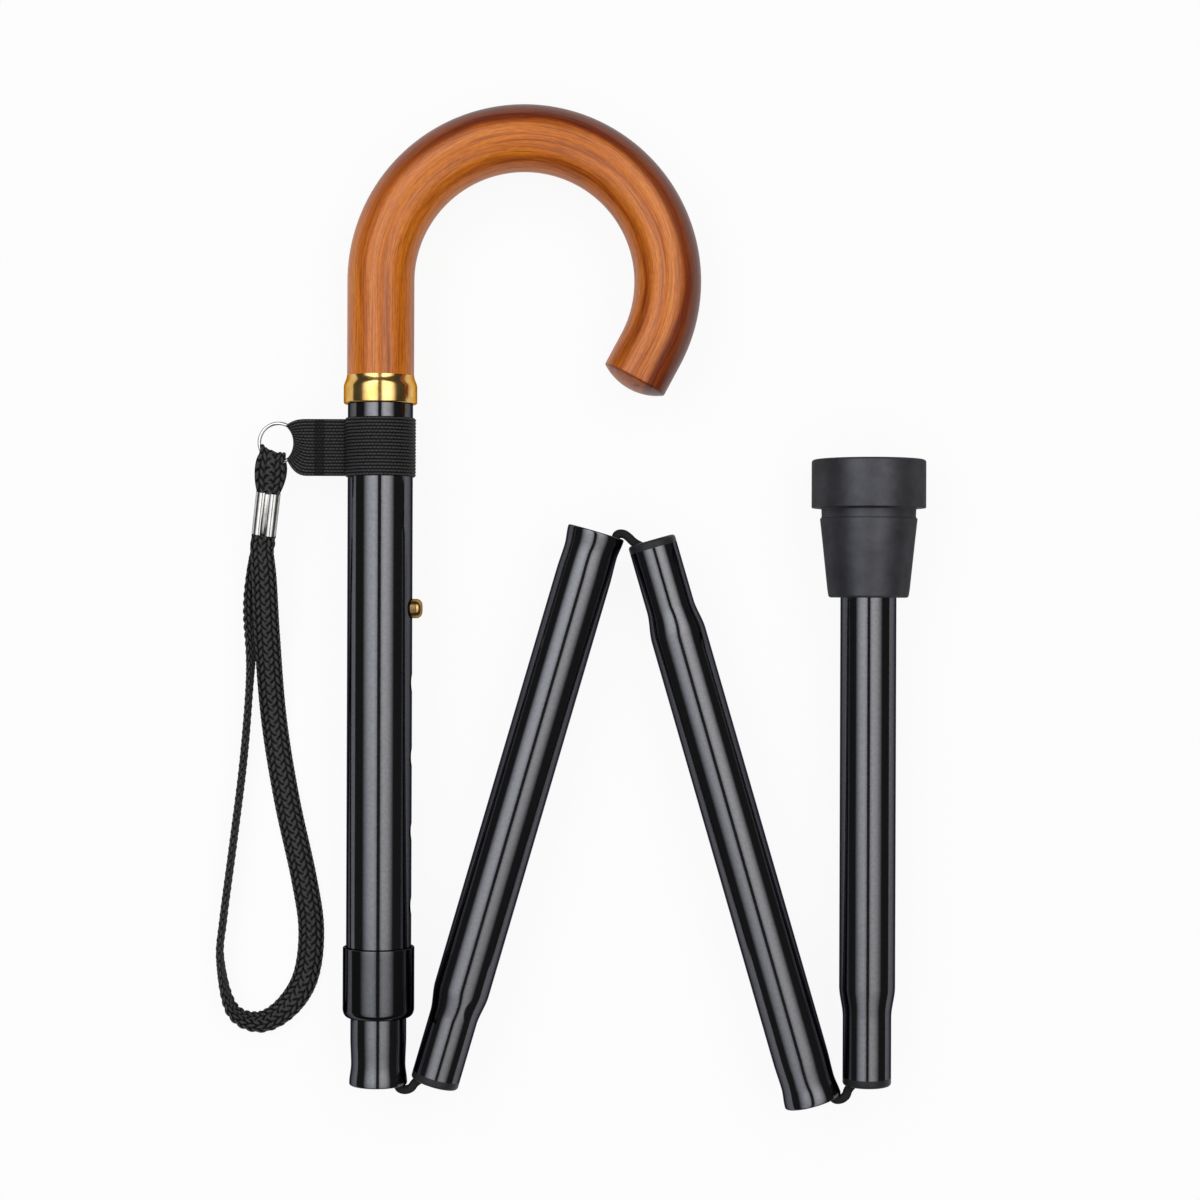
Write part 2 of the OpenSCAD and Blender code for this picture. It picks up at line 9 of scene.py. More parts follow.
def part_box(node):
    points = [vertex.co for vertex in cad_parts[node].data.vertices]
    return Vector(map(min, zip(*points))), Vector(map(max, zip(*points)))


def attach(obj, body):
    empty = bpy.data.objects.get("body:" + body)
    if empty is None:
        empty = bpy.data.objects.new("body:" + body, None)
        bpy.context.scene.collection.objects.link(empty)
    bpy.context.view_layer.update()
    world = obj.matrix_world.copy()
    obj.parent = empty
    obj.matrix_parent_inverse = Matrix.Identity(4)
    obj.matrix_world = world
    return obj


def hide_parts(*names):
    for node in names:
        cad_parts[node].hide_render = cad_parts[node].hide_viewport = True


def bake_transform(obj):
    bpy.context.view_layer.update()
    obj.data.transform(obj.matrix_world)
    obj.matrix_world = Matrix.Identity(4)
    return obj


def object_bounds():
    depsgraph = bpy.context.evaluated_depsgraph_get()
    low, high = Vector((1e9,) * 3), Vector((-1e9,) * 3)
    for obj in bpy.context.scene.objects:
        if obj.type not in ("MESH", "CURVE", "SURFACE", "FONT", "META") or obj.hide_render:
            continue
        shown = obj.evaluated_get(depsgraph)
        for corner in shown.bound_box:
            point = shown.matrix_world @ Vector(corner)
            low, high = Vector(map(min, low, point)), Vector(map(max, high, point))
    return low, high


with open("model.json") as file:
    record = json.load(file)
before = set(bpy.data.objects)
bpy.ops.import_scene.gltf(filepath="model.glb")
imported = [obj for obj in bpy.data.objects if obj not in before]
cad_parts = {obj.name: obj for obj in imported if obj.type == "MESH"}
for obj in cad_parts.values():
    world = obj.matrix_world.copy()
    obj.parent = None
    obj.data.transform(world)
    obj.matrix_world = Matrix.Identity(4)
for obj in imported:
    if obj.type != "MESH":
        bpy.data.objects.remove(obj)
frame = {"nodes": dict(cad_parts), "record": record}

CAD_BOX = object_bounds()

# Places from the frame

JOINTS = {joint["name"]: joint for joint in frame["record"]["behaviour"]["joints"]}
TUBE_LOW, TUBE_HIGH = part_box("outer_tube")
SHAFT_X = (TUBE_LOW[0] + TUBE_HIGH[0]) / 2
AXIS_Z = (TUBE_LOW[2] + TUBE_HIGH[2]) / 2
UP_SHAFT = Vector((0, 1, 0))
UP_Z = Vector((0, 0, 1))

# Sizes of the real pieces, in metres

HANDLE_R = 0.0114
SHANK_LEN = 0.0324
CROOK_R = 0.0489
CROOK_TURN = radians(208)
TAIL_LEN = 0.0153
TAIL_ROUND = 0.0008
TAIL_DOME = 0.020
OUTER_R = 0.0111
OUTER_BORE_R = 0.0099
TUBE_R = 0.009525
BORE_R = 0.008375
MOUTH_R = 0.009875
WAIST_R = 0.00925
WAIST_LEN = 0.009
FLARE_LEN = 0.007
SPIGOT_R = 0.008255
SPIGOT_LEN = 0.0205
SWAGE_LEN = 0.0104
CAP_H = 0.0028
CAP_ROUND = 0.0011
PIVOT_OUT = 0.0015
PLUG_BACK = 0.0044
ELASTIC_R = 0.0015
HOLE_R = 0.0035
HOLE_PITCH = 0.0254
HOLE_COUNT = 5
BAND_T = 0.001
BRAID_W = 0.0095
BRAID_T = 0.0024
FIT = 0.00005

# Counts and limits of the meshes

SIDES = 96
WELD = 1e-7
SOFT_ANGLE = 80


# Camera at the photograph's view: straight down on the flat-laid cane

PHOTO_WIDTH = 0.4092
CAMERA_RISE = 0.83
CAMERA_X = 0.0030
CAMERA_Y = 0.0023
CAMERA_ROLL = radians(0.2)
SENSOR = 36


def add_object(name, data):
    piece = bpy.data.objects.new(name, data)
    bpy.context.scene.collection.objects.link(piece)
    return piece


def add_camera():
    data = bpy.data.cameras.new("photo_camera")
    data.sensor_width = SENSOR
    data.sensor_height = SENSOR
    data.sensor_fit = "HORIZONTAL"
    data.angle = 2 * atan(PHOTO_WIDTH / 2 / CAMERA_RISE)
    camera = add_object("photo_camera", data)
    camera.location = (CAMERA_X, CAMERA_Y, AXIS_Z + CAMERA_RISE)
    camera.rotation_euler = (0, 0, CAMERA_ROLL)
    bpy.context.scene.camera = camera


add_camera()


# Modelling moves

def clear_selection():
    if bpy.context.mode != "OBJECT":
        bpy.ops.object.mode_set(mode="OBJECT")
    bpy.ops.object.select_all(action="DESELECT")


def make_active(piece):
    clear_selection()
    piece.select_set(True)
    bpy.context.view_layer.objects.active = piece


def fix_place():
    bpy.ops.object.transform_apply(location=True, rotation=True, scale=True)


def edit_all():
    bpy.ops.object.mode_set(mode="EDIT")
    bpy.ops.mesh.select_all(action="SELECT")


def face_outwards():
    """Turns all faces outwards and leaves edit mode."""
    bpy.ops.mesh.select_all(action="SELECT")
    bpy.ops.mesh.normals_make_consistent(inside=False)
    bpy.ops.object.mode_set(mode="OBJECT")


def select_open_edges():
    bpy.ops.mesh.select_mode(type="EDGE")
    bpy.ops.mesh.select_all(action="DESELECT")
    bpy.ops.mesh.select_non_manifold(extend=False, use_wire=False, use_multi_face=False,
                                     use_non_contiguous=False, use_verts=False)


def cap_ends(weld=False):
    """Closes the open ends, welds the points if asked, and leaves edit mode."""
    select_open_edges()
    bpy.ops.mesh.fill_holes(sides=0)
    if weld:
        bpy.ops.mesh.select_all(action="SELECT")
        bpy.ops.mesh.remove_doubles(threshold=WELD)
    face_outwards()


def bridge_ends():
    """Joins the two open edges with faces and leaves edit mode."""
    select_open_edges()
    bpy.ops.mesh.bridge_edge_loops()
    face_outwards()


def start_ring(name, sides, radius, place=(0, 0, 0), turn=(0, 0, 0)):
    """A new circle of points, with its place in the mesh."""
    clear_selection()
    bpy.ops.mesh.primitive_circle_add(vertices=sides, radius=radius, location=place, rotation=turn)
    ring = bpy.context.object
    ring.name = name
    fix_place()
    return ring


def extrude_ring(step, scale, centre):
    bpy.ops.mesh.extrude_region_move(TRANSFORM_OT_translate={"value": step})
    if abs(scale - 1) > 1e-9:
        bpy.ops.transform.resize(value=(scale, scale, scale), center_override=centre)


def extrude_rings(rings, start=Vector(), way=UP_Z):
    """Draws the selected ring on along a way, through rings of (radius, height) from a start."""
    for (before, low), (radius, high) in zip(rings, rings[1:]):
        extrude_ring((high - low) * way, radius / before, start + high * way)


def turned_piece(name, outline, sides=SIDES, hollow=False):
    """A turned solid about Z: rings of (radius, height), closed by caps or back to its first ring."""
    radius, height = outline[0]
    piece = start_ring(name, sides, radius)
    edit_all()
    bpy.ops.transform.translate(value=(0, 0, height))
    extrude_rings(outline)
    if hollow:
        bridge_ends()
    else:
        cap_ends()
    return piece


def set_along(piece, origin, direction):
    """Turns a piece made along Z to run from origin in a direction, and fixes it there."""
    turn = UP_Z.rotation_difference(Vector(direction))
    piece.matrix_world = Matrix.Translation(origin) @ turn.to_matrix().to_4x4()
    make_active(piece)
    fix_place()
    return piece


def cut_away(piece, cutter):
    """Cuts one solid out of another and removes the cutter."""
    make_active(piece)
    cut = piece.modifiers.new("cut", "BOOLEAN")
    cut.operation = "DIFFERENCE"
    cut.solver = "EXACT"
    cut.object = cutter
    bpy.ops.object.modifier_apply(modifier=cut.name)
    bpy.data.objects.remove(cutter, do_unlink=True)


def lay_vectors(piece, name, values):
    """Keeps a vector for each point, for the finish to read."""
    layer = piece.data.attributes.new(name, "FLOAT_VECTOR", "POINT")
    layer.data.foreach_set("vector", np.array(values, np.float32).ravel())


def lay_weave(piece, weave, relief):
    """Keeps each point's place in the weave, and its height there, which the finish turns into painted
    highlight on the crests and painted shade in the gaps.
    """
    lay_vectors(piece, "weave", weave)
    layer = piece.data.attributes.new("relief", "FLOAT", "POINT")
    layer.data.foreach_set("value", np.array(relief, np.float32))


def dress(piece, finish, angle):
    """Smooths a piece and gives it its finish."""
    make_active(piece)
    bpy.ops.object.shade_smooth_by_angle(angle=radians(angle))
    piece.data.materials.clear()
    piece.data.materials.append(finish)


def hand_over(piece, body, slot, finish, *nodes, angle=35):
    """Dresses a piece and hands it to its body in place of its nodes."""
    dress(piece, finish, angle)
    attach(piece, body)
    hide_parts(*nodes)
    return piece


def eased(share):
    return share * share * (3 - 2 * share)


def clamped(share):
    return min(max(share, 0), 1)


def hump(distance, width):
    """A smooth rise to 1 where the distance is 0."""
    return exp(-((distance / width) ** 2))


def blend_rings(start, end, steps=10):
    """Rings of a smooth step from one (radius, height) to another."""
    return [(start[0] + (end[0] - start[0]) * eased(k / steps),
             start[1] + (end[1] - start[1]) * k / steps) for k in range(steps + 1)]


def round_rings(centre, radius, first, last, steps=8):
    """Rings of a rounded edge about a centre (radius, height), between two angles in degrees."""
    angles = [radians(first + (last - first) * k / steps) for k in range(steps + 1)]
    return [(centre[0] + radius * cos(a), centre[1] + radius * sin(a)) for a in angles]


# Finishes

WHITE = (1, 1, 1)


def finish_start(name):
    finish = bpy.data.materials.new(name)
    finish.use_nodes = True
    tree = finish.node_tree
    return finish, tree, tree.nodes["Principled BSDF"]


def feed(tree, socket, value):
    """Gives a socket another node's output, or a plain value."""
    if isinstance(value, bpy.types.NodeSocket):
        tree.links.new(value, socket)
    else:
        socket.default_value = value


def feed_all(tree, node, values):
    for key, value in values.items():
        feed(tree, node.inputs[key], value)


def add_node(tree, kind, **settings):
    """A new node with its settings, and with its inputs fed."""
    node = tree.nodes.new(kind)
    for key, value in settings.items():
        if key in node.inputs.keys():
            feed(tree, node.inputs[key], value)
        else:
            setattr(node, key, value)
    return node


def colour_ramp(tree, factor, stops):
    ramp = add_node(tree, "ShaderNodeValToRGB", Fac=factor)
    while len(ramp.color_ramp.elements) < len(stops):
        ramp.color_ramp.elements.new(0.5)
    for element, (place, colour) in zip(ramp.color_ramp.elements, stops):
        element.position = place
        element.color = (*colour, 1)
    return ramp.outputs["Color"]


def map_range(tree, value, low, high, to=(0, 1), kind="LINEAR"):
    node = add_node(tree, "ShaderNodeMapRange", interpolation_type=kind, Value=value)
    feed_all(tree, node, {"From Min": low, "From Max": high, "To Min": to[0], "To Max": to[1]})
    return node.outputs["Result"]


def maths(tree, operation, *values):
    node = add_node(tree, "ShaderNodeMath", operation=operation)
    for socket, value in zip(node.inputs, values):
        feed(tree, socket, value)
    return node.outputs["Value"]


def darken(tree, colour, layer, share=1):
    """A colour multiplied by a layer, as far as the share says."""
    mix = add_node(tree, "ShaderNodeMix", data_type="RGBA", blend_type="MULTIPLY",
                   Factor=share, A=colour, B=layer)
    return mix.outputs["Result"]


def split_vector(tree, vector):
    parts = add_node(tree, "ShaderNodeSeparateXYZ", Vector=vector)
    return parts.outputs["X"], parts.outputs["Y"]


def read_attribute(tree, name, output="Vector"):
    return add_node(tree, "ShaderNodeAttribute", attribute_name=name).outputs[output]


def bump_from(tree, shader, height, strength, distance):
    bump = add_node(tree, "ShaderNodeBump", Strength=strength, Distance=distance, Height=height)
    feed(tree, shader.inputs["Normal"], bump.outputs["Normal"])


def place_noise(tree, coords, scale, detail=3, roughness=0.5, stretch=(1, 1, 1)):
    """Noise over a coordinate, with the coordinate stretched first."""
    mapping = add_node(tree, "ShaderNodeMapping", Scale=stretch, Vector=coords)
    noise = add_node(tree, "ShaderNodeTexNoise", Scale=scale, Detail=detail, Roughness=roughness,
                     Vector=mapping.outputs["Vector"])
    return noise.outputs["Fac"]


def object_coords(tree):
    return add_node(tree, "ShaderNodeTexCoord").outputs["Object"]


def shades(colour, *shares):
    return [tuple(share * part for part in colour) for share in shares]


def black_gloss(name, base, edge, rough_low, rough_high):
    """Deep black gloss, dark to its edges, with faint dust and orange peel."""
    finish, tree, shader = finish_start(name)
    coords = object_coords(tree)
    dust = place_noise(tree, coords, 900, 4, 0.6)
    cloud = place_noise(tree, coords, 60)
    dim, pale = shades(base, 0.92, 1.15)
    feed_all(tree, shader, {
        "Base Color": colour_ramp(tree, dust, [(0.35, dim), (0.8, pale)]), "Metallic": 1,
        "Specular Tint": (edge, edge, 1.1 * edge, 1),
        "Roughness": map_range(tree, cloud, 0, 1, (rough_low, rough_high))})
    bump_from(tree, shader, place_noise(tree, coords, 700, 2), 0.02, 0.0002)
    return finish


def polished_metal(name, base, dark, edge, rough_low, rough_high):
    """Bright metal with fine wear and a slight change of tone, deeper at its edges."""
    finish, tree, shader = finish_start(name)
    coords = object_coords(tree)
    cloud = place_noise(tree, coords, 300, 4, 0.6)
    feed_all(tree, shader, {
        "Base Color": colour_ramp(tree, cloud, [(0.3, dark), (0.6, base)]), "Metallic": 1,
        "Specular Tint": (*edge, 1),
        "Roughness": map_range(tree, cloud, 0, 1, (rough_low, rough_high))})
    bump_from(tree, shader, place_noise(tree, coords, 1500, 2, 0.5, (1, 0.1, 1)), 0.003, 0.00005)
    return finish


def dull_black(name, base, pale, rough, grain_scale, grain_depth, sheen=0):
    """Matte black with a fine grain and a little bloom; sheen darkens its edges."""
    finish, tree, shader = finish_start(name)
    coords = object_coords(tree)
    bloom = place_noise(tree, coords, 120, 5, 0.65)
    feed_all(tree, shader, {
        "Base Color": colour_ramp(tree, bloom, [(0.35, base), (0.75, pale)]), "Metallic": sheen,
        "Specular Tint": (1 - sheen, 1 - sheen, 1 - sheen, 1), "Specular IOR Level": 0.18,
        "Roughness": rough})
    bump_from(tree, shader, place_noise(tree, coords, grain_scale), 0.25, grain_depth)
    return finish


# Lengths along the handle: where it darkens on the outer side of the bend (a smoke stain and painted shade),
# and where its domed end begins
SMOKE_AND_SHADE_ALONG = (0.035, 0.10)
SMOKE_AND_SHADE_SIDE = (-0.0015, -0.0105)
END_GRAIN = SHANK_LEN + CROOK_R * CROOK_TURN + 0.0112
END_RIM = 0.005
VEIN_WANDER = 0.006


def varnished_wood():
    """Orange-brown bent wood: streaks follow the handle's own length under clear varnish; the outer side of
    the bend is darkened by a smoke stain and painted shade.
    """
    finish, tree, shader = finish_start("varnished_wood")
    grain = read_attribute(tree, "grain")
    broad = place_noise(tree, grain, 180, 4, 0.6, (0.06, 1, 1))
    fine = place_noise(tree, grain, 1100, 5, 0.7, (0.025, 1, 1))
    pores = place_noise(tree, grain, 2600, 2, 0.5, (0.02, 1, 1))
    flecks = place_noise(tree, grain, 1500, 3, 0.6, (0.22, 1, 1))
    colour = colour_ramp(tree, broad, [
        (0.30, (0.28, 0.048, 0.002)), (0.43, (0.63, 0.158, 0.005)),
        (0.58, (0.77, 0.224, 0.010)), (0.74, (0.63, 0.158, 0.005))])
    streak = colour_ramp(tree, fine, [(0.32, (0.42, 0.28, 0.18)), (0.50, WHITE)])
    pore = colour_ramp(tree, pores, [(0.34, (0.50, 0.38, 0.3)), (0.48, WHITE)])
    fleck = colour_ramp(tree, flecks, [(0.36, (0.62, 0.52, 0.42)), (0.62, WHITE)])
    along, side = split_vector(tree, grain)
    # Outer side of the bend darker: partly a smoke stain from bending, partly painted shade where that side
    # turns away from the panels.
    rise = map_range(tree, along, *SMOKE_AND_SHADE_ALONG, kind="SMOOTHSTEP")
    outside = map_range(tree, side, *SMOKE_AND_SHADE_SIDE, kind="SMOOTHSTEP")
    smoke_and_shade = colour_ramp(tree, maths(tree, "MULTIPLY", rise, outside), [
        (0, WHITE), (0.5, (0.52, 0.36, 0.26)), (1, (0.24, 0.13, 0.08))])
    wander = place_noise(tree, grain, 30, 3, 0.5, (1, 0, 0))
    drift = maths(tree, "MULTIPLY_ADD", wander, VEIN_WANDER, side)
    across = map_range(tree, drift, VEIN_WANDER / 2 - HANDLE_R, VEIN_WANDER / 2 + HANDLE_R)
    vein = colour_ramp(tree, across, [
        (0.17, WHITE), (0.205, (0.5, 0.33, 0.22)), (0.225, (0.75, 0.62, 0.5)), (0.25, (0.5, 0.33, 0.22)),
        (0.32, WHITE), (0.80, WHITE), (0.85, (0.62, 0.47, 0.36)), (0.90, WHITE)])
    veined = maths(tree, "MULTIPLY", rise, 0.9)
    rim = colour_ramp(tree, map_range(tree, along, END_GRAIN, END_GRAIN + END_RIM), [
        (0.02, WHITE), (0.14, (0.36, 0.22, 0.14)), (0.24, (0.74, 0.62, 0.54)), (0.9, (0.82, 0.72, 0.66))])
    for layer, share in ((streak, 0.5), (pore, 0.7), (fleck, 0.5), (smoke_and_shade, 1), (vein, veined), (rim, 0.95)):
        colour = darken(tree, colour, layer, share)
    feed_all(tree, shader, {"Base Color": colour, "Roughness": 0.34, "Specular IOR Level": 0.5,
                            "Coat Weight": 0.06, "Coat Roughness": 0.2})
    bump_from(tree, shader, fine, 0.08, 0.0003)
    return finish


def woven_black(name, rib_scale, pale):
    """Black yarn: a fine twill on the piece's own weave, with painted highlight where its relief is high and
    painted shade, near black, in the gaps.
    """
    finish, tree, shader = finish_start(name)
    yarn = place_noise(tree, read_attribute(tree, "weave"), rib_scale, 2)
    # Colour from relief: painted highlight on the crests, painted shade in the gaps between yarns.
    lit = maths(tree, "MULTIPLY_ADD", yarn, 0.6, read_attribute(tree, "relief", "Fac"))
    dim, = shades(pale, 0.35)
    tint = colour_ramp(tree, lit, [(0.5, (0.001, 0.001, 0.0011)), (0.85, dim), (1, pale)])
    feed_all(tree, shader, {"Base Color": tint, "Roughness": 0.55, "Specular IOR Level": 0.1})
    bump_from(tree, shader, yarn, 0.5, 0.0003)
    return finish


TUBE_BLACK = black_gloss("tube_lacquer", (0.125, 0.126, 0.136), 0.22, 0.07, 0.12)
LOCK_BLACK = black_gloss("lock_plastic", (0.085, 0.086, 0.092), 0.2, 0.08, 0.13)
PLUG_BLACK = dull_black("plug_plastic", (0.018, 0.018, 0.02), (0.03, 0.03, 0.033), 0.38, 1800, 0.00008)
INNER_PLASTIC = dull_black("inner_plastic", (0.05, 0.05, 0.055), (0.09, 0.09, 0.095), 0.5, 1500, 0.0001)
TIP_RUBBER = dull_black("tip_rubber", (0.06, 0.0605, 0.068), (0.088, 0.0885, 0.099), 0.44, 1300, 0.00012, 0.7)
ELASTIC_BLACK = dull_black("elastic_braid", (0.008, 0.008, 0.008), (0.02, 0.02, 0.02), 0.7, 2200, 0.0002)
GOLD = polished_metal("gold_metal", (0.9, 0.6, 0.24), (0.78, 0.45, 0.12), (0.5, 0.22, 0.04), 0.12, 0.2)
BRASS = polished_metal("button_brass", (0.58, 0.38, 0.16), (0.4, 0.24, 0.09), (0.3, 0.17, 0.06), 0.16, 0.24)
STEEL = polished_metal("bright_steel", (0.74, 0.73, 0.71), (0.6, 0.59, 0.58), (0.3, 0.3, 0.3), 0.12, 0.2)
SPRING_STEEL = polished_metal(
    "spring_steel", (0.55, 0.55, 0.57), (0.4, 0.4, 0.42), (0.5, 0.5, 0.5), 0.25, 0.4)
WOOD = varnished_wood()
WEBBING = woven_black("elastic_webbing", 1400, (0.05, 0.05, 0.052))
BRAID = woven_black("cord_braid", 1600, (0.055, 0.055, 0.057))


# Wrist cord: a flat braid that leaves the ferrule, lies in a long loop and comes back

MOUTH_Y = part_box("inner_tube")[0][1]
RING_LOW, RING_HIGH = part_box("strap_ring")
RING_CENTRE = Vector(((RING_LOW[0] + RING_HIGH[0]) / 2, (RING_LOW[1] + RING_HIGH[1]) / 2, AXIS_Z))
WIRE_R = 0.000625
RING_R = (RING_HIGH[0] - RING_LOW[0]) / 2 - WIRE_R
EYE_TURN = radians(250)
STRAP_LEAN = radians(262)
STRAP_DIP = radians(13)
EYE_LEN = 0.011
EYE_IN_R = 0.0019
FERRULE_LEN = 0.015
FERRULE_W = 0.0084
FERRULE_T = 0.0046
LEG_T = FERRULE_T / 2 - 0.0001
EYE_POINT = RING_CENTRE + RING_R * Vector((cos(EYE_TURN), sin(EYE_TURN), 0))
STRAP_WAY = Vector((cos(STRAP_LEAN) * cos(STRAP_DIP), sin(STRAP_LEAN) * cos(STRAP_DIP), -sin(STRAP_DIP)))
STRAP_SIDE = Vector((-sin(STRAP_LEAN), cos(STRAP_LEAN), 0))
STRAP_UP = STRAP_WAY.cross(STRAP_SIDE)

# Each stop is x and y from the shaft's mouth, height over the floor, share of the width, and roll
CORD_STOPS = [
    (-0.0404, 0.172, 0.0125, 0.95, 0), (-0.040, 0.1518, 0.0075, 1, 0), (-0.0383, 0.1231, 0.0018, 1, 0),
    (-0.0338, 0.0955, 0.0015, 1, 0), (-0.0277, 0.0679, 0.0015, 1, 0), (-0.0251, 0.0496, 0.0015, 1, 0),
    (-0.0272, 0.0332, 0.0015, 1, 0), (-0.0341, 0.0227, 0.003, 1, -25), (-0.0431, 0.0184, 0.0046, 1, -50),
    (-0.0522, 0.0231, 0.0052, 1, -75), (-0.0562, 0.0399, 0.0052, 1, -90), (-0.0552, 0.0541, 0.0052, 1, -90),
    (-0.0517, 0.0816, 0.0052, 1, -90), (-0.0483, 0.1101, 0.0052, 1, -90), (-0.046, 0.1396, 0.006, 1, -88),
    (-0.0454, 0.160, 0.0063, 0.95, -58), (-0.0433, 0.173, 0.0089, 0.9, -26)]
CORD_STEPS = 24
CORD_RING_GAP = 0.0004
CORD_RING_POINTS = 84

# The plait: columns round the braid, each a row of slanted yarns
PLAIT_COLUMNS = 12
PLAIT_PITCH = 0.0029
PLAIT_DEPTH = 0.0008
YARN_SLANT = 0.3
YARN_SHIFT = 0.25
YARN_FILL = 0.86
COLUMN_CROWN = 0.72
SECTION_POWER = 0.7
EDGE_POWER = 6


def ferrule_leg(side, out):
    """A leg of the cord, a length past the ferrule's foot: place, width, thickness and roll."""
    foot = EYE_POINT + (EYE_LEN + FERRULE_LEN + out) * STRAP_WAY
    leg = foot + side * FERRULE_T / 4 * STRAP_UP
    return np.array([*leg, FERRULE_W, LEG_T, 0])


def cord_stops():
    laid = [np.array([SHAFT_X + x, MOUTH_Y + y, z, wide * BRAID_W, BRAID_T, roll])
            for x, y, z, wide, roll in CORD_STOPS]
    leave = 2 * BRAID_T
    start = [ferrule_leg(1, out) for out in (0, leave / 2, leave)]
    end = [ferrule_leg(-1, out) for out in (leave, leave / 2, 0)]
    return start + laid + end


def smooth_route(stops, steps):
    """A smooth line through stops that carry more than their place."""
    line = []
    last = len(stops) - 1
    for i in range(last):
        a, b, c, d = stops[max(i - 1, 0)], stops[i], stops[i + 1], stops[min(i + 2, last)]
        for k in range(steps):
            t = k / steps
            line.append((2 * b + (c - a) * t + (2 * a - 5 * b + 4 * c - d) * t ** 2
                         + (3 * b - a - 3 * c + d) * t ** 3) / 2)
    line.append(stops[last])
    return line


def fuller(part):
    return copysign(abs(part) ** SECTION_POWER, part)


def flat_section(wide, thick, count):
    """Outline of a flat braid's cut, and each point's share of the way round."""
    angles = [2 * pi * (k + 0.5) / count for k in range(count)]
    outline = [(fuller(cos(a)) * wide / 2, fuller(sin(a)) * thick / 2) for a in angles]
    run = [0]
    for before, after in zip(outline, outline[1:] + outline[:1]):
        run.append(run[-1] + dist(before, after))
    return [(across, over, step / run[-1]) for (across, over), step in zip(outline, run)]


def plait_relief(along, round_share):
    """Height of a herringbone plait, from 0 in the gaps to 1 on the yarns."""
    column = round_share * PLAIT_COLUMNS
    index = floor(column)
    across = 2 * (column - index) - 1
    slant = 1 if index % 2 else -1
    stitch = along / PLAIT_PITCH + YARN_SLANT * slant * across + YARN_SHIFT * slant
    beside = (2 * (stitch - floor(stitch)) - 1) / YARN_FILL
    return sqrt(max(1 - beside * beside, 0)) * (1 - COLUMN_CROWN * across * across)


def swept_mesh(name, rings, weave, relief):
    """A closed skin over rings of points, with each point's weave and relief."""
    count = len(rings[0])
    points = [tuple(point) for ring in rings for point in ring]
    faces = []
    for i in range(len(rings) - 1):
        for k in range(count):
            here, beside = i * count + k, i * count + (k + 1) % count
            faces.append((here, beside, beside + count, here + count))
    faces.append(tuple(range(count - 1, -1, -1)))
    faces.append(tuple(len(points) - count + k for k in range(count)))
    mesh = bpy.data.meshes.new(name)
    mesh.from_pydata(points, [], faces)
    piece = add_object(name, mesh)
    lay_weave(piece, weave, relief)
    make_active(piece)
    edit_all()
    face_outwards()
    return piece


def evenly(line, gap):
    """The same route with its places a set gap apart."""
    steps = [0]
    for before, after in zip(line, line[1:]):
        steps.append(steps[-1] + float(np.linalg.norm(after[:3] - before[:3])))
    wanted = np.linspace(0, steps[-1], round(steps[-1] / gap) + 1)
    columns = [np.interp(wanted, steps, column) for column in np.array(line).T]
    return list(np.array(columns).T)


def braid_along(name, line, count, depth=0):
    """A braid swept along a line of places, widths, thicknesses and rolls."""
    rings, weave, relief = [], [], []
    run = 0
    for i, stop in enumerate(line):
        here = Vector(stop[:3])
        ahead = Vector(line[min(i + 1, len(line) - 1)][:3])
        behind = Vector(line[max(i - 1, 0)][:3])
        way = (ahead - behind).normalized()
        run += (here - behind).length
        side = way.cross(UP_Z).normalized()
        up = side.cross(way)
        wide, thick, roll = (float(value) for value in stop[3:])
        level, lean = cos(radians(roll)), sin(radians(roll))
        ring = []
        for across, over, share in flat_section(wide, thick, count):
            height = plait_relief(run, share)
            sunk = depth * (1 - height)
            across -= copysign(min(sunk, abs(across)) * (abs(2 * across / wide) ** EDGE_POWER), across)
            over -= copysign(min(sunk, abs(over)), over)
            ring.append(here + (across * level - over * lean) * side + (across * lean + over * level) * up)
            weave.append((run, across, over))
            relief.append(height)
        rings.append(ring)
    return swept_mesh(name, rings, weave, relief)


CORD_LINE = evenly(smooth_route(cord_stops(), CORD_STEPS), CORD_RING_GAP)
wrist_cord = braid_along("wrist_cord_braid", CORD_LINE, CORD_RING_POINTS, PLAIT_DEPTH)
hand_over(wrist_cord, "strap", "braid", BRAID, "wrist_cord", angle=SOFT_ANGLE)


# Wrist strap's eye, ferrule and ring

EYE_W = 0.0084
EYE_T = 0.0017
EYE_FOOT_W = FERRULE_W - 0.0006
EYE_FOOT_RISE = 0.0012
EYE_BULGE = 0.0024
EYE_REACH = EYE_IN_R + EYE_T / 2
EYE_LEG_RUN = 1.04
EYE_LEG_STEPS = 24
EYE_BIGHT_STEPS = 20
EYE_RING_POINTS = 56


def eye_leg(share):
    """Middle of the folded braid, a share of the way down a leg; below 0 on the other leg."""
    rise = EYE_REACH + (EYE_FOOT_RISE - EYE_REACH) * eased(abs(share))
    return EYE_LEN * abs(share), copysign(rise, share)


def eye_bight(turn):
    """Middle of the folded braid where it turns over the ring."""
    return -EYE_REACH * sin(turn), EYE_REACH * cos(turn)


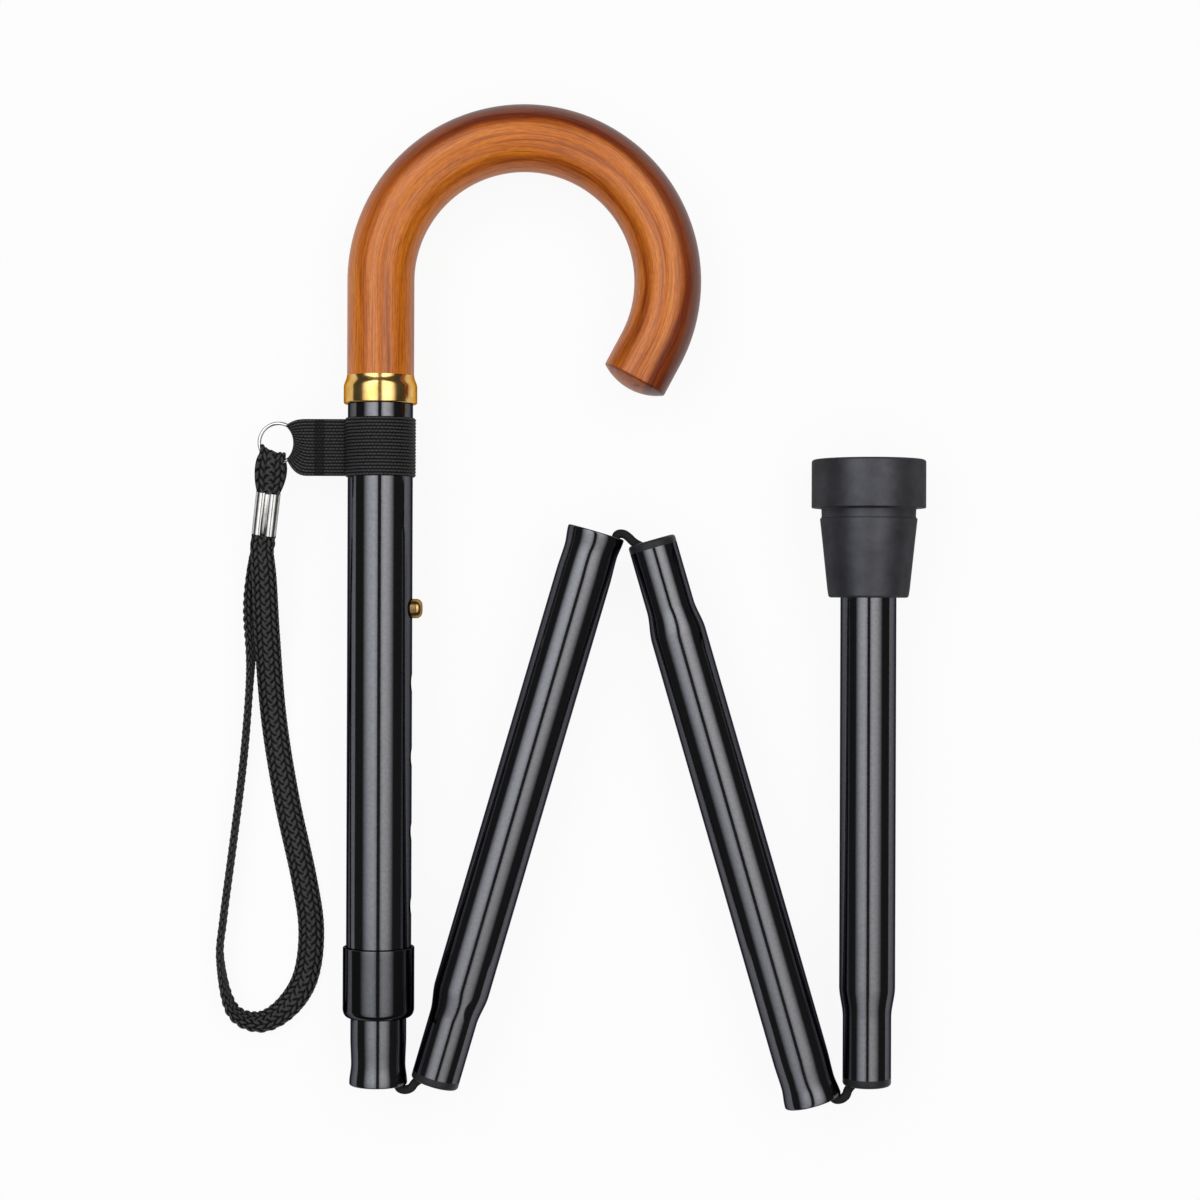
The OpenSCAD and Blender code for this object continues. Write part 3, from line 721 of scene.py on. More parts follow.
def make_eye():
    """Braid folded over the ring: its bight follows the wire, and both legs meet in the ferrule."""
    legs = [EYE_LEG_RUN * (1 - k / EYE_LEG_STEPS) for k in range(EYE_LEG_STEPS)]
    line = [eye_leg(share) for share in legs]
    line += [eye_bight(pi * k / EYE_BIGHT_STEPS) for k in range(EYE_BIGHT_STEPS + 1)]
    line += [eye_leg(-share) for share in reversed(legs)]
    rings, weave, relief = [], [], []
    run = 0
    for i, (along, rise) in enumerate(line):
        before = line[max(i - 1, 0)]
        after = line[min(i + 1, len(line) - 1)]
        run += dist(before, (along, rise))
        slope = Vector((after[0] - before[0], after[1] - before[1])).normalized()
        down = clamped(along / EYE_LEN)
        free = 1 - eased(down)
        wide = EYE_W + (EYE_FOOT_W - EYE_W) * (1 - free) + EYE_BULGE * sin(pi * down)
        ring = []
        for across, over, share in flat_section(wide, EYE_T, EYE_RING_POINTS):
            bump = plait_relief(run, share)
            over -= copysign(min(PLAIT_DEPTH * (1 - bump), abs(over)), over)
            sag = RING_R - sqrt(max(RING_R ** 2 - across ** 2, 0))
            tilt = across * tan(EYE_TURN - STRAP_LEAN)
            length = along - slope.y * over - free * (sag + tilt)
            height = rise + slope.x * over
            ring.append(EYE_POINT + length * STRAP_WAY + across * STRAP_SIDE + height * STRAP_UP)
            weave.append((run, across, over))
            relief.append(bump)
        rings.append(ring)
    return swept_mesh("cord_eye_braid", rings, weave, relief)


FERRULE_LIPS = (0.86, 0.94, 1)
FERRULE_EDGE = 0.00012
FERRULE_POWER = 0.62
CRIMP_DEPTH = 0.25
CRIMP_W = 0.0005


def make_ferrule():
    """Bright sleeve pressed to two lobes, its ends turned in."""
    lobe = FERRULE_T / 2
    half = FERRULE_W / 2 - lobe
    sleeve = start_ring("ferrule_sleeve", 80, lobe)
    for point in sleeve.data.vertices:
        angle = atan2(point.co.y, point.co.x)
        side = 1 if cos(angle) >= 0 else -1
        across = (half + lobe) * side * (1 - sin(angle) ** 2) ** FERRULE_POWER
        rise = sqrt(max(lobe ** 2 - (abs(across) - half) ** 2, 0))
        rise *= 1 - CRIMP_DEPTH * hump(across, CRIMP_W)
        point.co.x = across
        point.co.y = copysign(rise, sin(angle)) if abs(sin(angle)) > 1e-6 else 0
    edit_all()
    first, lip, full = FERRULE_LIPS
    bpy.ops.transform.resize(value=(first, first, first), center_override=(0, 0, 0))
    rings = [(first, 0), (lip, 0), (full, FERRULE_EDGE), (full, FERRULE_LEN - FERRULE_EDGE),
             (lip, FERRULE_LEN), (first, FERRULE_LEN)]
    extrude_rings(rings)
    cap_ends()
    turn = Matrix((STRAP_SIDE, STRAP_UP, STRAP_WAY)).transposed().to_4x4()
    sleeve.matrix_world = Matrix.Translation(EYE_POINT + EYE_LEN * STRAP_WAY) @ turn
    make_active(sleeve)
    fix_place()
    return sleeve


def make_ring():
    """Round wire bent to a ring, its two cut ends nearly meeting under the tab."""
    wire = start_ring("bent_wire_ring", 24, WIRE_R, (RING_R, 0, 0), (pi / 2, 0, 0))
    edit_all()
    bpy.ops.mesh.spin(steps=120, angle=radians(356), center=(0, 0, 0), axis=(0, 0, 1))
    cap_ends(weld=True)
    wire.location = RING_CENTRE
    fix_place()
    return wire


hand_over(make_eye(), "strap", "braid", BRAID, "cord_eye", angle=SOFT_ANGLE)
ferrule = hand_over(make_ferrule(), "strap", "steel", STEEL, "strap_ferrule")
hand_over(make_ring(), "ring", "steel", STEEL, "strap_ring", angle=50)


# Webbing band round the tube, its tab and the tab's loop

BAND_LOW, BAND_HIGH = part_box("strap_band")
BAND_W = BAND_HIGH[1] - BAND_LOW[1]
RIBS = 18
RIB_STEPS = 6
RIB_FLOAT = 0.0012
RIB_DEPTH = 0.00030
RIB_LOW = 0.62
BAND_SIDES = 288
BAND_ROLL = 0.025


def rib_relief(along, share):
    """Height of the elastic's ribs, each a row of short floats, from 0 to 1."""
    row = share * RIBS
    index = floor(row)
    ridge = sin(pi * (row - index))
    float_wave = 0.5 + 0.5 * sin(2 * pi * along / RIB_FLOAT + pi * (index % 2))
    return ridge * (RIB_LOW + (1 - RIB_LOW) * float_wave)


def make_band():
    """Ribbed elastic round the tube, its edges rolled by the pull."""
    inner = OUTER_R + FIT
    steps = RIBS * RIB_STEPS
    outline = [(inner, 0)]
    outline += [(inner + BAND_T, BAND_W * k / steps) for k in range(steps + 1)]
    outline.append((inner, BAND_W))
    band = turned_piece("webbing_band", outline, BAND_SIDES, hollow=True)
    set_along(band, (SHAFT_X, BAND_LOW[1], AXIS_Z), UP_SHAFT)
    weave, relief = [], []
    for point in band.data.vertices:
        arm = Vector((point.co.x - SHAFT_X, point.co.z - AXIS_Z))
        up = point.co.y - BAND_LOW[1]
        share = clamped(up / BAND_W)
        around = atan2(arm.y, arm.x) * OUTER_R
        height = rib_relief(around, share)
        if arm.length > inner + BAND_T / 2:
            rolled = min(min(share, 1 - share) / BAND_ROLL, 1)
            radius = inner + BAND_T * (0.5 + 0.5 * rolled) - RIB_DEPTH * (1 - height) * rolled
            point.co.x = SHAFT_X + arm.x / arm.length * radius
            point.co.z = AXIS_Z + arm.y / arm.length * radius
        weave.append((around, up, 0))
        relief.append(height)
    lay_weave(band, weave, relief)
    return band


# The tab from above: where it starts, is pinched, is sewn, and gathers to the ring's wire
TAB_START = 0.0085
TAB_PINCH = 0.0114
TAB_SEAM = (0.0190, 0.0224)
TAB_PAST_WIRE = 0.0016
TAB_GATHER = 0.68
TAB_GATHER_POWER = 2.8
TAB_INSET = 0.0003
TAB_END_FROM = -64
TAB_END_SWEEP = 132
TAB_END_CROWN = 0.75
TAB_STEPS = 150

# The tab's thickness on each side of its middle, and what adds to it or takes from it
TAB_T = 0.00105
TAB_LEAST_T = 0.00008
TAB_ROOT_T = 0.0012
TAB_WIRE_T = 0.00075
TAB_WIRE_FROM = 0.6
TAB_SWELL_W = 0.0016
TAB_PINCH_T = 0.0006
TAB_PINCH_W = 0.0005
TAB_PINCH_SHADE = 0.0008
STITCH_T = 0.00025
SEAM_RIBS = 0.35
SEAM_SHADE = 0.6
TAB_ROLL = 0.03
TAB_ROLL_LOW = 0.4
TAB_TURN = 0.055
TAB_TURN_LOW = 0.08


def tab_place(along, share):
    """A point of the tab from above: straight by the tube, gathered round the ring's wire."""
    low, high = BAND_LOW[1] + TAB_INSET, BAND_LOW[1] + BAND_W - TAB_INSET
    angle = radians(TAB_END_FROM + TAB_END_SWEEP * share)
    past = TAB_PAST_WIRE * (1 - TAB_END_CROWN * (2 * share - 1) ** 2)
    end = RING_CENTRE + (RING_R - past) * Vector((cos(angle), sin(angle), 0))
    start = Vector((SHAFT_X - TAB_START, low + (high - low) * share, AXIS_Z))
    flat = start.lerp(Vector((end.x, start.y, AXIS_Z)), along)
    drawn = max(0, (along - TAB_GATHER) / (1 - TAB_GATHER))
    return flat.lerp(Vector((flat.x, end.y, AXIS_Z)), drawn ** TAB_GATHER_POWER)


def make_tab():
    """Two layers of webbing, pinched by the tube, stitched, and folded over the ring's wire."""
    clear_selection()
    bpy.ops.mesh.primitive_grid_add(x_subdivisions=TAB_STEPS, y_subdivisions=RIBS * RIB_STEPS, size=2,
                                    location=(0, 0, 0))
    tab = bpy.context.object
    tab.name = "webbing_tab"
    weave, relief = [], []
    for point in tab.data.vertices:
        along = (1 - point.co.x) / 2
        share = (point.co.y + 1) / 2
        place = tab_place(along, share)
        reach = SHAFT_X - place.x
        height = rib_relief(reach, share)
        wire = (place - RING_CENTRE).length - RING_R
        near_wire = hump(wire, TAB_SWELL_W) if along > TAB_WIRE_FROM else 0
        thick = TAB_T + TAB_ROOT_T * hump(reach - TAB_START, TAB_SWELL_W) + TAB_WIRE_T * near_wire
        pinch = TAB_PINCH_T * hump(reach - TAB_PINCH, TAB_PINCH_W)
        seam = TAB_SEAM[0] < reach < TAB_SEAM[1]
        stitch = STITCH_T if seam else 0
        rolled = min(min(share, 1 - share) / TAB_ROLL, 1) ** 0.5
        turned = min((1 - along) / TAB_TURN, 1)
        turned = sqrt(max(1 - (1 - turned) ** 2, 0))
        ribs = RIB_DEPTH * (1 - height) * (SEAM_RIBS if seam else 1)
        lift = (thick - pinch - stitch - ribs) * (TAB_ROLL_LOW + (1 - TAB_ROLL_LOW) * rolled)
        lift *= TAB_TURN_LOW + (1 - TAB_TURN_LOW) * turned
        point.co = place + Vector((0, 0, max(lift, TAB_LEAST_T)))
        weave.append((reach, share * BAND_W, 0))
        # Relief lowered at the seam and the pinch, for painted shade there.
        relief.append(height * (SEAM_SHADE if seam else 1) * (1 - pinch / TAB_PINCH_SHADE))
    lay_weave(tab, weave, relief)
    edit_all()
    bpy.ops.mesh.duplicate()
    bpy.ops.transform.resize(value=(1, 1, -1), center_override=(0, 0, AXIS_Z))
    bridge_ends()
    return tab


hand_over(make_band(), "upper_shaft", "webbing", WEBBING, "strap_band", angle=SOFT_ANGLE)
tab = make_tab()
dress(tab, WEBBING, SOFT_ANGLE)
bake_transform(tab)


# Handle: a round rod bent to a crook

HANDLE_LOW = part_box("handle_collar")[1][1]
TENON_LEN = 0.026
TENON_R = OUTER_BORE_R - FIT
SHANK_STEPS = 10
CROOK_STEPS = 110
TURN_SLACK = 0.02
ARC_CENTRE = Vector((SHAFT_X + CROOK_R, HANDLE_LOW + SHANK_LEN, AXIS_Z))


def grain_place(co):
    """Length along the handle's middle line, and the place across it."""
    rise = co.z - AXIS_Z
    if co.y < ARC_CENTRE.y and co.x < ARC_CENTRE.x:
        return co.y - HANDLE_LOW, co.x - SHAFT_X, rise
    arm = Vector((co.x - ARC_CENTRE.x, co.y - ARC_CENTRE.y))
    turn = (pi - atan2(arm.y, arm.x)) % (2 * pi)
    if turn <= CROOK_TURN + TURN_SLACK:
        return SHANK_LEN + CROOK_R * turn, CROOK_R - arm.length, rise
    past = arm.length * sin(turn - CROOK_TURN)
    inwards = CROOK_R - arm.length * cos(turn - CROOK_TURN)
    return SHANK_LEN + CROOK_R * CROOK_TURN + past, inwards, rise


def tail_rings():
    """Rings of the handle's end: a straight run, a rounded lip and a low dome."""
    lip_r = HANDLE_R - TAIL_ROUND
    lip_turn = degrees(acos(lip_r / (TAIL_DOME - TAIL_ROUND)))
    dome = TAIL_LEN - TAIL_DOME
    lip = dome + (TAIL_DOME - TAIL_ROUND) * sin(radians(lip_turn))
    rings = [(HANDLE_R, 0), (HANDLE_R, lip / 2)]
    rings += round_rings((lip_r, lip), TAIL_ROUND, 0, lip_turn, 8)
    return rings + round_rings((0, dome), TAIL_DOME, lip_turn + 2, 88, 14)


def make_crook():
    foot = Vector((SHAFT_X, HANDLE_LOW, AXIS_Z))
    rod = start_ring("crook_rod", SIDES, TENON_R, foot - TENON_LEN * UP_SHAFT, (pi / 2, 0, 0))
    edit_all()
    extrude_ring(TENON_LEN * UP_SHAFT, 1, foot)
    extrude_ring((0, 0, 0), HANDLE_R / TENON_R, foot)
    for _ in range(SHANK_STEPS):
        extrude_ring(SHANK_LEN / SHANK_STEPS * UP_SHAFT, 1, foot)
    bpy.ops.mesh.spin(steps=CROOK_STEPS, angle=CROOK_TURN, center=ARC_CENTRE, axis=(0, 0, 1))
    heading = pi / 2 - CROOK_TURN
    way = Vector((cos(heading), sin(heading), 0))
    out = Vector((-cos(CROOK_TURN), sin(CROOK_TURN), 0))
    extrude_rings(tail_rings(), ARC_CENTRE + CROOK_R * out, way)
    cap_ends(weld=True)
    lay_vectors(rod, "grain", [grain_place(point.co) for point in rod.data.vertices])
    return rod


hand_over(make_crook(), "upper_shaft", "handle_wood", WOOD, "crook_handle", angle=40)


# Gold collar and height button

COLLAR_H = 0.0096
COLLAR_R = 0.0125
COLLAR_EDGE = 0.0006
COLLAR_LIP = 0.0012
BUTTON_LOW, BUTTON_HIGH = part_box("height_button")
BUTTON_Y = (BUTTON_LOW[1] + BUTTON_HIGH[1]) / 2
BUTTON_R = 0.0033
BUTTON_CROWN = 0.002
BUTTON_FLANGE_R = 0.0042
BUTTON_FLANGE_H = 0.0011


def make_collar():
    inside = OUTER_R + FIT
    step = COLLAR_H - COLLAR_LIP
    outline = [(inside, 0)]
    outline += round_rings((COLLAR_R - COLLAR_EDGE, COLLAR_EDGE), COLLAR_EDGE, -90, 0)
    outline += [(COLLAR_R, COLLAR_H * 0.3), (COLLAR_R, COLLAR_H * 0.45)]
    outline += blend_rings((COLLAR_R, COLLAR_H * 0.6), (HANDLE_R + FIT, COLLAR_H), 14)
    outline += [(OUTER_BORE_R, COLLAR_H), (OUTER_BORE_R, step), (inside, step)]
    collar = turned_piece("gold_collar", outline, hollow=True)
    return set_along(collar, (SHAFT_X, HANDLE_LOW - COLLAR_H, AXIS_Z), UP_SHAFT)


def make_button():
    tall = BUTTON_HIGH[0] - BUTTON_LOW[0]
    outline = [(BUTTON_FLANGE_R, 0), (BUTTON_FLANGE_R, BUTTON_FLANGE_H), (BUTTON_R, BUTTON_FLANGE_H)]
    outline += round_rings((BUTTON_R - BUTTON_CROWN, tall - BUTTON_CROWN), BUTTON_CROWN, 0, 82, 12)
    outline += [(0.0009, tall - 0.00002), (0.0004, tall)]
    button = turned_piece("button_pin", outline, sides=64)
    return set_along(button, (BUTTON_LOW[0], BUTTON_Y, AXIS_Z), (1, 0, 0))


hand_over(make_collar(), "upper_shaft", "gold_metal", GOLD, "handle_collar")
hand_over(make_button(), "button", "gold_metal", BRASS, "height_button")


# Tubes

LIP = 0.00025
HOLE_REACH = 0.02
INSERT_LEN = CAP_H + SPIGOT_LEN
SPIGOT_BORE_R = 0.007255
STEM_R = SPIGOT_BORE_R - FIT
STEM_END = CAP_H + 0.012
FUNNEL_R = SPIGOT_R - CAP_ROUND - FIT
CORD_HOLE_R = ELASTIC_R + 0.0003
HARD_ANGLE = 30


def drill(tube, y):
    """Cuts a round hole through a tube's right side."""
    pin = turned_piece("hole_cutter", [(HOLE_R, 0), (HOLE_R, HOLE_REACH)], sides=48)
    cut_away(tube, set_along(pin, (SHAFT_X, y, AXIS_Z), (1, 0, 0)))


def make_outer_tube():
    length = TUBE_HIGH[1] - TUBE_LOW[1]
    outline = [(OUTER_BORE_R, 0), (OUTER_R - LIP, 0)] + round_rings((OUTER_R - LIP, LIP), LIP, -60, 0, 3)
    outline += [(OUTER_R, length * k / 8) for k in range(1, 8)]
    outline += round_rings((OUTER_R - LIP, length - LIP), LIP, 0, 60, 3) + [(OUTER_BORE_R, length)]
    tube = turned_piece("upper_tube", outline, hollow=True)
    set_along(tube, (SHAFT_X, TUBE_LOW[1], AXIS_Z), UP_SHAFT)
    for k in range(HOLE_COUNT):
        drill(tube, BUTTON_Y - k * HOLE_PITCH)
    return tube


def mouth_rings(length):
    """Outside of an open end: a waist, a flare to the mouth, and a rounded lip."""
    rings = blend_rings((TUBE_R, length - FLARE_LEN - WAIST_LEN), (WAIST_R, length - FLARE_LEN), 10)
    rings += blend_rings((WAIST_R, length - FLARE_LEN), (MOUTH_R, length - 2 * LIP), 12)[1:]
    rings += round_rings((MOUTH_R - 2 * LIP, length - 2 * LIP), 2 * LIP, 20, 90, 5)
    rings += round_rings((BORE_R + LIP, length - LIP), LIP, 90, 180, 4)
    return rings


def make_inner_tube():
    low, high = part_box("inner_tube")
    length = high[1] - low[1]
    outline = [(BORE_R, 0), (TUBE_R, 0), (TUBE_R, length / 2)] + mouth_rings(length)
    tube = turned_piece("inner_tube_flared", outline, hollow=True)
    set_along(tube, (SHAFT_X, high[1], AXIS_Z), -UP_SHAFT)
    drill(tube, BUTTON_Y)
    return tube


def make_section(name, length, open_end):
    """A folding section: a reduced end, a swage, the tube, and a flared or plain end."""
    low, high = INSERT_LEN, INSERT_LEN + SWAGE_LEN
    outline = [(SPIGOT_BORE_R, CAP_H), (SPIGOT_R, CAP_H), (SPIGOT_R, CAP_H + SPIGOT_LEN / 2)]
    outline += blend_rings((SPIGOT_R, low), (TUBE_R, high), 16)
    outline += [(TUBE_R, high + (length - high) * share) for share in (0.25, 0.5, 0.75)]
    outline += mouth_rings(length) if open_end else [(TUBE_R, length), (BORE_R, length)]
    outline += blend_rings((BORE_R, high), (SPIGOT_BORE_R, low), 8)
    return turned_piece(name, outline, hollow=True)


def make_plug(name):
    """Plug of the reduced end: a rounded cap, a funnel for the cord and a stem."""
    outline = [(FUNNEL_R + 0.00004, 0)]
    outline += round_rings((SPIGOT_R - CAP_ROUND, CAP_ROUND), CAP_ROUND, -90, 0)
    outline += [(SPIGOT_R, CAP_H), (STEM_R, CAP_H), (STEM_R, STEM_END)]
    outline += [(CORD_HOLE_R, STEM_END), (CORD_HOLE_R, 0.0068), (CORD_HOLE_R + 0.0002, 0.0064)]
    outline += [(FUNNEL_R * 0.6, 0.0028), (FUNNEL_R - 0.0002, 0.0002)]
    return turned_piece(name, outline, hollow=True)


# The side that each section folds to, its pivot's distance from its axis, and its length
FOLD_SIDES = {2: 1, 3: -1, 4: 1}
FOLD_REACH = {2: 0.0091, 3: 0.0089, 4: 0.0091}
SECTION_LEN = {2: 0.196, 3: 0.199, 4: 0.2132}
TIP_SOLE = 0.012


def section_line(k):
    """Where a section's plug has its face, and the way that the section runs from it."""
    way = -Vector(JOINTS[f"plug_in_{k - 1}"]["axis"]).normalized()
    left = Vector((-way.y, way.x, 0))
    pivot = Vector(JOINTS[f"fold_{k - 1}"]["pos_m"])
    return pivot - FOLD_SIDES[k] * FOLD_REACH[k] * left + PLUG_BACK * way, way


hand_over(make_outer_tube(), "upper_shaft", "black_tube", TUBE_BLACK, "outer_tube", angle=HARD_ANGLE)
hand_over(make_inner_tube(), "inner_shaft", "black_tube", TUBE_BLACK, "inner_tube", angle=HARD_ANGLE)
for k in (2, 3, 4):
    face, way = section_line(k)
    length = SECTION_LEN[k] - (TIP_SOLE if k == 4 else 0)
    section = set_along(make_section(f"section_tube_{k}", length, k != 4), face, way)
    hand_over(section, f"section_{k}", "black_tube", TUBE_BLACK, f"tube_{k}", angle=HARD_ANGLE)
    plug = set_along(make_plug(f"section_plug_{k}"), face, way)
    hand_over(plug, f"section_{k}", "plug_plastic", PLUG_BLACK, f"plug_{k}", angle=HARD_ANGLE)


# Lock collar

LOCK_FOOT_R = TUBE_R + 0.0003
LOCK_FOOT_IN = 0.0019
LOCK_FOOT_H = 0.0029
LOCK_FLOOR = 0.00195
LOCK_EDGE = 0.0004
LOCK_BORE_R = OUTER_R + 0.00012


def make_lock_collar():
    low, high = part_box("lock_collar")
    tall = high[1] - low[1]
    radius = (high[0] - low[0]) / 2
    outline = [(LOCK_FOOT_R, LOCK_EDGE), (LOCK_FOOT_R + 0.0003, 0)]
    outline += [(radius - LOCK_FOOT_IN * (1 - rise), LOCK_FOOT_H * (1 - fall))
                for rise, fall in round_rings((0, 0), 1, 0, 90, 12)[::-1]]
    outline += [(radius, tall * share) for share in (0.3, 0.6, 0.9)]
    outline += round_rings((radius - LOCK_EDGE, tall - LOCK_EDGE), LOCK_EDGE, 0, 90, 5)
    outline += [(OUTER_R + 0.0003, tall), (LOCK_BORE_R, tall - LOCK_EDGE), (LOCK_BORE_R, LOCK_FLOOR)]
    outline += [(LOCK_FOOT_R, LOCK_FLOOR)]
    collar = turned_piece("lock_ring", outline, hollow=True)
    return set_along(collar, (SHAFT_X, low[1], AXIS_Z), UP_SHAFT)


hand_over(make_lock_collar(), "lock_collar", "black_gloss_plastic", LOCK_BLACK, "lock_collar")


# Rubber tip

TIP_R = 0.01945
TIP_BASE_H = 0.0165
TIP_EDGE = 0.001
TIP_BORE_R = TUBE_R + 0.0001
TIP_BORE_END = 0.0101
GROOVE_R = 0.0161
GROOVE_H = 0.0034
CONE_R = 0.01655
CONE_TOP_R = 0.0137
CONE_H = 0.0271
CONE_EDGE = 0.0004


def make_tip():
    groove_top = TIP_BASE_H + GROOVE_H
    top = groove_top + CONE_H
    low_edge = TIP_EDGE / 3
    outline = [(share * (TIP_R - 0.004), 0.0004) for share in (0.2, 0.5, 1)]
    outline += [(TIP_R - 0.0036, 0), (TIP_R - TIP_EDGE - 0.0003, 0)]
    outline += round_rings((TIP_R - TIP_EDGE, TIP_EDGE), TIP_EDGE, -80, 0, 6)
    outline += [(TIP_R, TIP_BASE_H / 2)]
    outline += round_rings((TIP_R - low_edge, TIP_BASE_H - low_edge), low_edge, 0, 90, 4)
    outline += [(GROOVE_R + 0.0004, TIP_BASE_H + 0.00002), (GROOVE_R, TIP_BASE_H + 0.0005)]
    outline += [(GROOVE_R - 0.0001, groove_top - 0.0006), (GROOVE_R + 0.0001, groove_top - 0.00005)]
    outline += round_rings((CONE_R - CONE_EDGE, groove_top + CONE_EDGE), CONE_EDGE, -80, 0, 4)
    outline += [(CONE_R + (CONE_TOP_R - CONE_R) * share, groove_top + CONE_H * share)
                for share in (0.3, 0.6, 0.9)]
    outline += round_rings((CONE_TOP_R - TIP_EDGE, top - TIP_EDGE), TIP_EDGE, 0, 90, 6)
    outline += [(TUBE_R + 0.0005, top), (TIP_BORE_R, top - 0.0004), (TIP_BORE_R, TIP_BORE_END)]
    tip = turned_piece("rubber_tip_moulded", outline)
    face, way = section_line(4)
    return set_along(tip, face + SECTION_LEN[4] * way, -way)


hand_over(make_tip(), "section_4", "tip_rubber", TIP_RUBBER, "rubber_tip")


# Elastic cord: the bends that show at the folds

MOUTH_RUN = 0.040
PLUG_RUN = 0.012
FUNNEL_H = 0.0065
CORD_ROOM = ELASTIC_R + 0.00015
LIP_ROOM = 0.0003
DRIFTS = [(0, 1), (0, 0.94), (0, 0.88), (0.25, 0.65), (0.75, 0.3)]
SETTLES = (0.055, 0.4, 1)
BEND_STEPS = 5
BEND_POINTS = 16


def bend_line(fold, reach):
    """The cord's way out of a mouth, over its lip and down the next plug's funnel."""
    across = np.array([cos(fold), sin(fold)])
    out = np.array([-sin(fold), cos(fold)])
    face = np.array([reach, PIVOT_OUT]) + reach * across - PLUG_BACK * out
    slope = atan((FUNNEL_R - CORD_HOLE_R) / FUNNEL_H)
    slip = FUNNEL_R - CORD_ROOM / cos(slope)
    inside = BORE_R - CORD_ROOM
    lip = (BORE_R + MOUTH_R) / 2
    line = [(inside * k, -MOUTH_RUN * depth) for k, depth in DRIFTS]
    line += [(inside, -CORD_ROOM), (inside + 0.25 * CORD_ROOM, 0.7 * CORD_ROOM)]
    line += [(lip, CORD_ROOM + LIP_ROOM), (MOUTH_R + 0.8 * CORD_ROOM, 0.8 * CORD_ROOM)]
    line += [face - (slip + CORD_ROOM * tan(slope)) * across + CORD_ROOM * out, face - slip * across]
    line += [face - slip * (0.42 * across + 0.46 / tan(slope) * out)]
    line += [face - (FUNNEL_H + (PLUG_RUN - FUNNEL_H) * k) * out for k in SETTLES]
    return line


def section_mouth(k):
    """Where a section's mouth is, and the way out of it."""
    if k == 1:
        return Vector((SHAFT_X, MOUTH_Y, AXIS_Z)), -UP_SHAFT
    face, way = section_line(k)
    return face + SECTION_LEN[k] * way, way


def fold_side(k):
    """The way from a mouth's middle to its fold's pivot."""
    out = section_mouth(k)[1]
    return FOLD_SIDES[k + 1] * Vector((-out.y, out.x, 0))


def make_bend(k):
    mouth, out = section_mouth(k)
    side = fold_side(k)
    next_way = section_line(k + 1)[1]
    fold = pi - out.angle(next_way)
    stops = [np.array([*(mouth + float(u) * side + float(v) * out), 2 * ELASTIC_R, 2 * ELASTIC_R, 0])
             for u, v in bend_line(fold, FOLD_REACH[k + 1])]
    return braid_along(f"elastic_bend_{k}", smooth_route(stops, BEND_STEPS), BEND_POINTS)


for k, owner in ((1, "inner_shaft"), (2, "section_2"), (3, "section_3")):
    bend = make_bend(k)
    dress(bend, ELASTIC_BLACK, SOFT_ANGLE)
    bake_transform(bend)
    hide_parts(f"cord_bend_{k}")


# CAD nodes that stay: each gets its finish

STAYING = (
    (INNER_PLASTIC, ("collet_bush", "guide_bush", "upper_anchor", "lower_anchor")),
    (SPRING_STEEL, ("button_spring",)), (STEEL, ("tip_washer",)),
    (ELASTIC_BLACK, ("upper_knot", "lower_knot", "elastic_1", "elastic_2", "elastic_3", "elastic_4")))
for finish, nodes in STAYING:
    for node in nodes:
        piece = frame["nodes"][node]
        piece.data.materials.clear()
        piece.data.materials.append(finish)


# Floor and light

FLOOR_SIZE = 8
FLOOR_DROP = 0.0002
FLOOR_GROUND = 0.92
FLOOR_IN_GLOSS = 0.35
STUDIO_DIM = 0.06
PANEL_LEN = 3.2
PANEL_RISE = 1.5


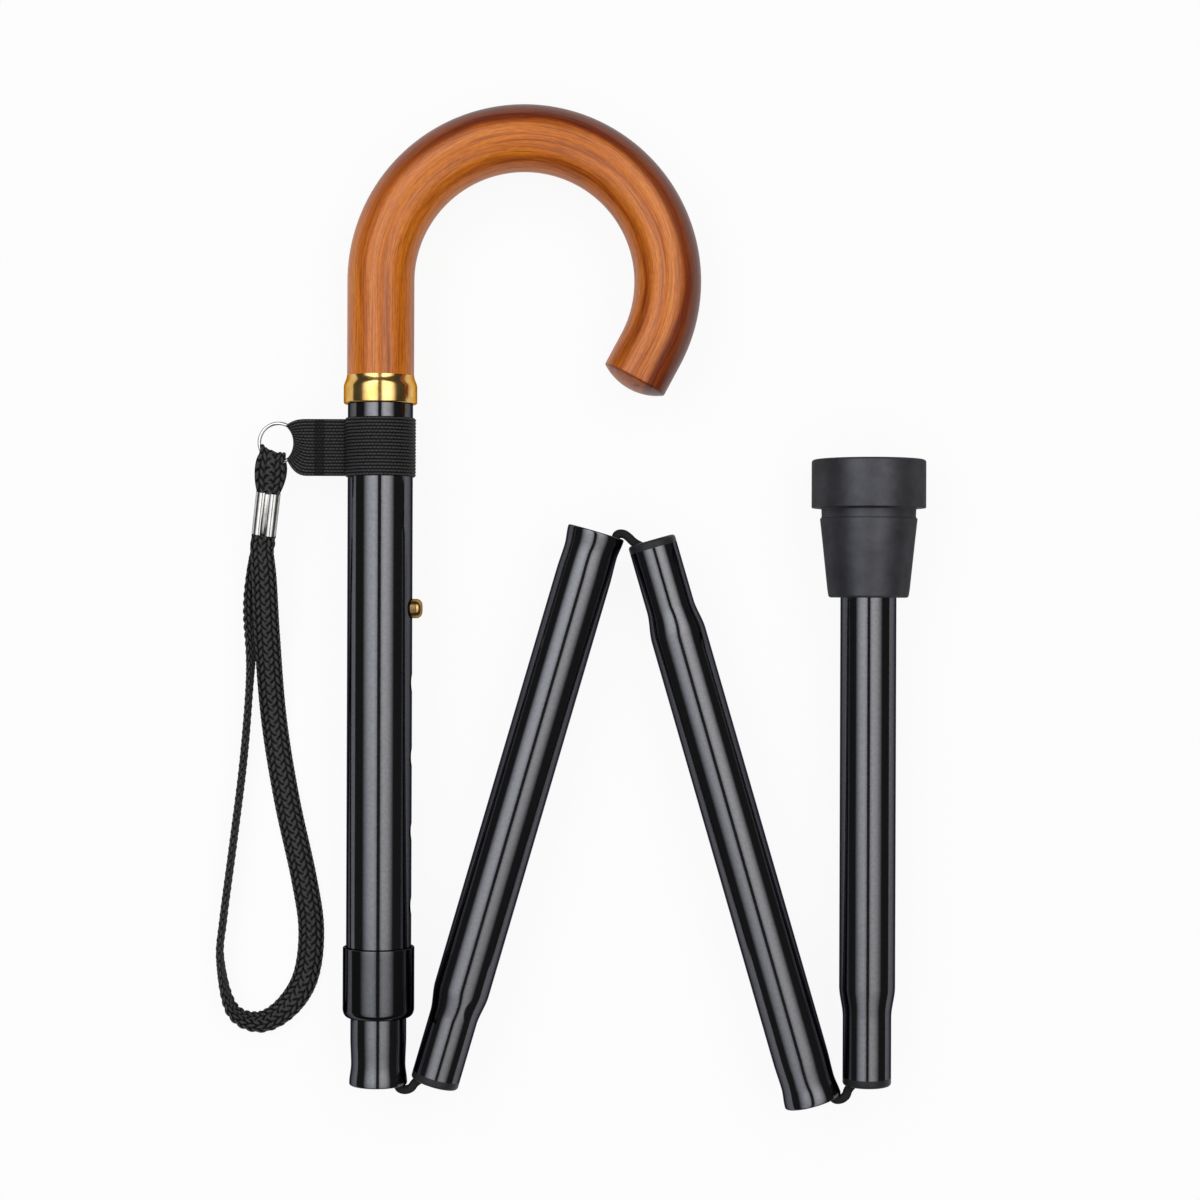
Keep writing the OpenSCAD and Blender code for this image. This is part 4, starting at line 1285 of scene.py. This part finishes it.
def add_floor():
    """Plain white floor that takes the shadow; to the eye and in gloss it is part white ground."""
    clear_selection()
    bpy.ops.mesh.primitive_plane_add(size=FLOOR_SIZE, location=(0, 0, CAD_BOX[0][2] - FLOOR_DROP))
    plane = bpy.context.object
    plane.name = "studio_floor"
    finish, tree, shader = finish_start("floor_white")
    feed_all(tree, shader, {"Base Color": (0.8, 0.8, 0.8, 1), "Roughness": 0.9, "Specular IOR Level": 0.1})
    path = add_node(tree, "ShaderNodeLightPath")
    share = 0
    for ray, level in (("Is Camera Ray", FLOOR_GROUND), ("Is Glossy Ray", FLOOR_IN_GLOSS),
                       ("Is Transmission Ray", FLOOR_GROUND)):
        share = maths(tree, "MAXIMUM", maths(tree, "MULTIPLY", path.outputs[ray], level), share)
    ground = add_node(tree, "ShaderNodeEmission", Strength=1)
    mix = add_node(tree, "ShaderNodeMixShader", Fac=share)
    feed(tree, mix.inputs[1], shader.outputs["BSDF"])
    feed(tree, mix.inputs[2], ground.outputs["Emission"])
    feed(tree, tree.nodes["Material Output"].inputs["Surface"], mix.outputs["Shader"])
    plane.data.materials.append(finish)


def add_panel(name, x, width, tint, radiance, across):
    """A long soft panel over the cane, that dims towards its edges and its foot."""
    data = bpy.data.lights.new(name, "AREA")
    data.shape = "RECTANGLE"
    data.size = width
    data.size_y = PANEL_LEN
    data.energy = radiance * pi * width * PANEL_LEN
    data.color = tint
    data.use_nodes = True
    tree = data.node_tree
    side, up = split_vector(tree, add_node(tree, "ShaderNodeNewGeometry").outputs["Parametric"])
    glow = colour_ramp(tree, side, [(place, (level,) * 3) for place, level in across])
    fade = colour_ramp(tree, up, [(0.3, (0.55,) * 3), (0.62, WHITE)])
    feed(tree, tree.nodes["Emission"].inputs["Color"], darken(tree, glow, fade))
    panel = add_object(name, data)
    panel.location = (x, 0, AXIS_Z + PANEL_RISE)
    panel.visible_camera = False


def add_world():
    """Dim studio round the cane; the eye, and what is seen through a piece, meet a white ground."""
    world = bpy.data.worlds.new("studio")
    world.use_nodes = True
    tree = world.node_tree
    path = add_node(tree, "ShaderNodeLightPath")
    either = maths(tree, "MAXIMUM", path.outputs["Is Camera Ray"], path.outputs["Is Transmission Ray"])
    feed_all(tree, tree.nodes["Background"], {
        "Color": (*WHITE, 1), "Strength": map_range(tree, either, 0, 1, (STUDIO_DIM, 1))})
    bpy.context.scene.world = world


add_floor()
add_panel("left_panel", -1.21, 2.1, (0.96, 0.98, 1.0), 2.7,
          [(0, 0), (0.3, 0.4), (0.6, 0.85), (0.85, 1), (1, 0.6)])
add_panel("right_panel", 1.11, 1.9, (1.0, 0.99, 0.97), 2.6,
          [(0, 0.6), (0.15, 1), (0.4, 0.85), (0.7, 0.4), (1, 0)])
add_world()
bpy.context.scene.view_settings.view_transform = "Standard"
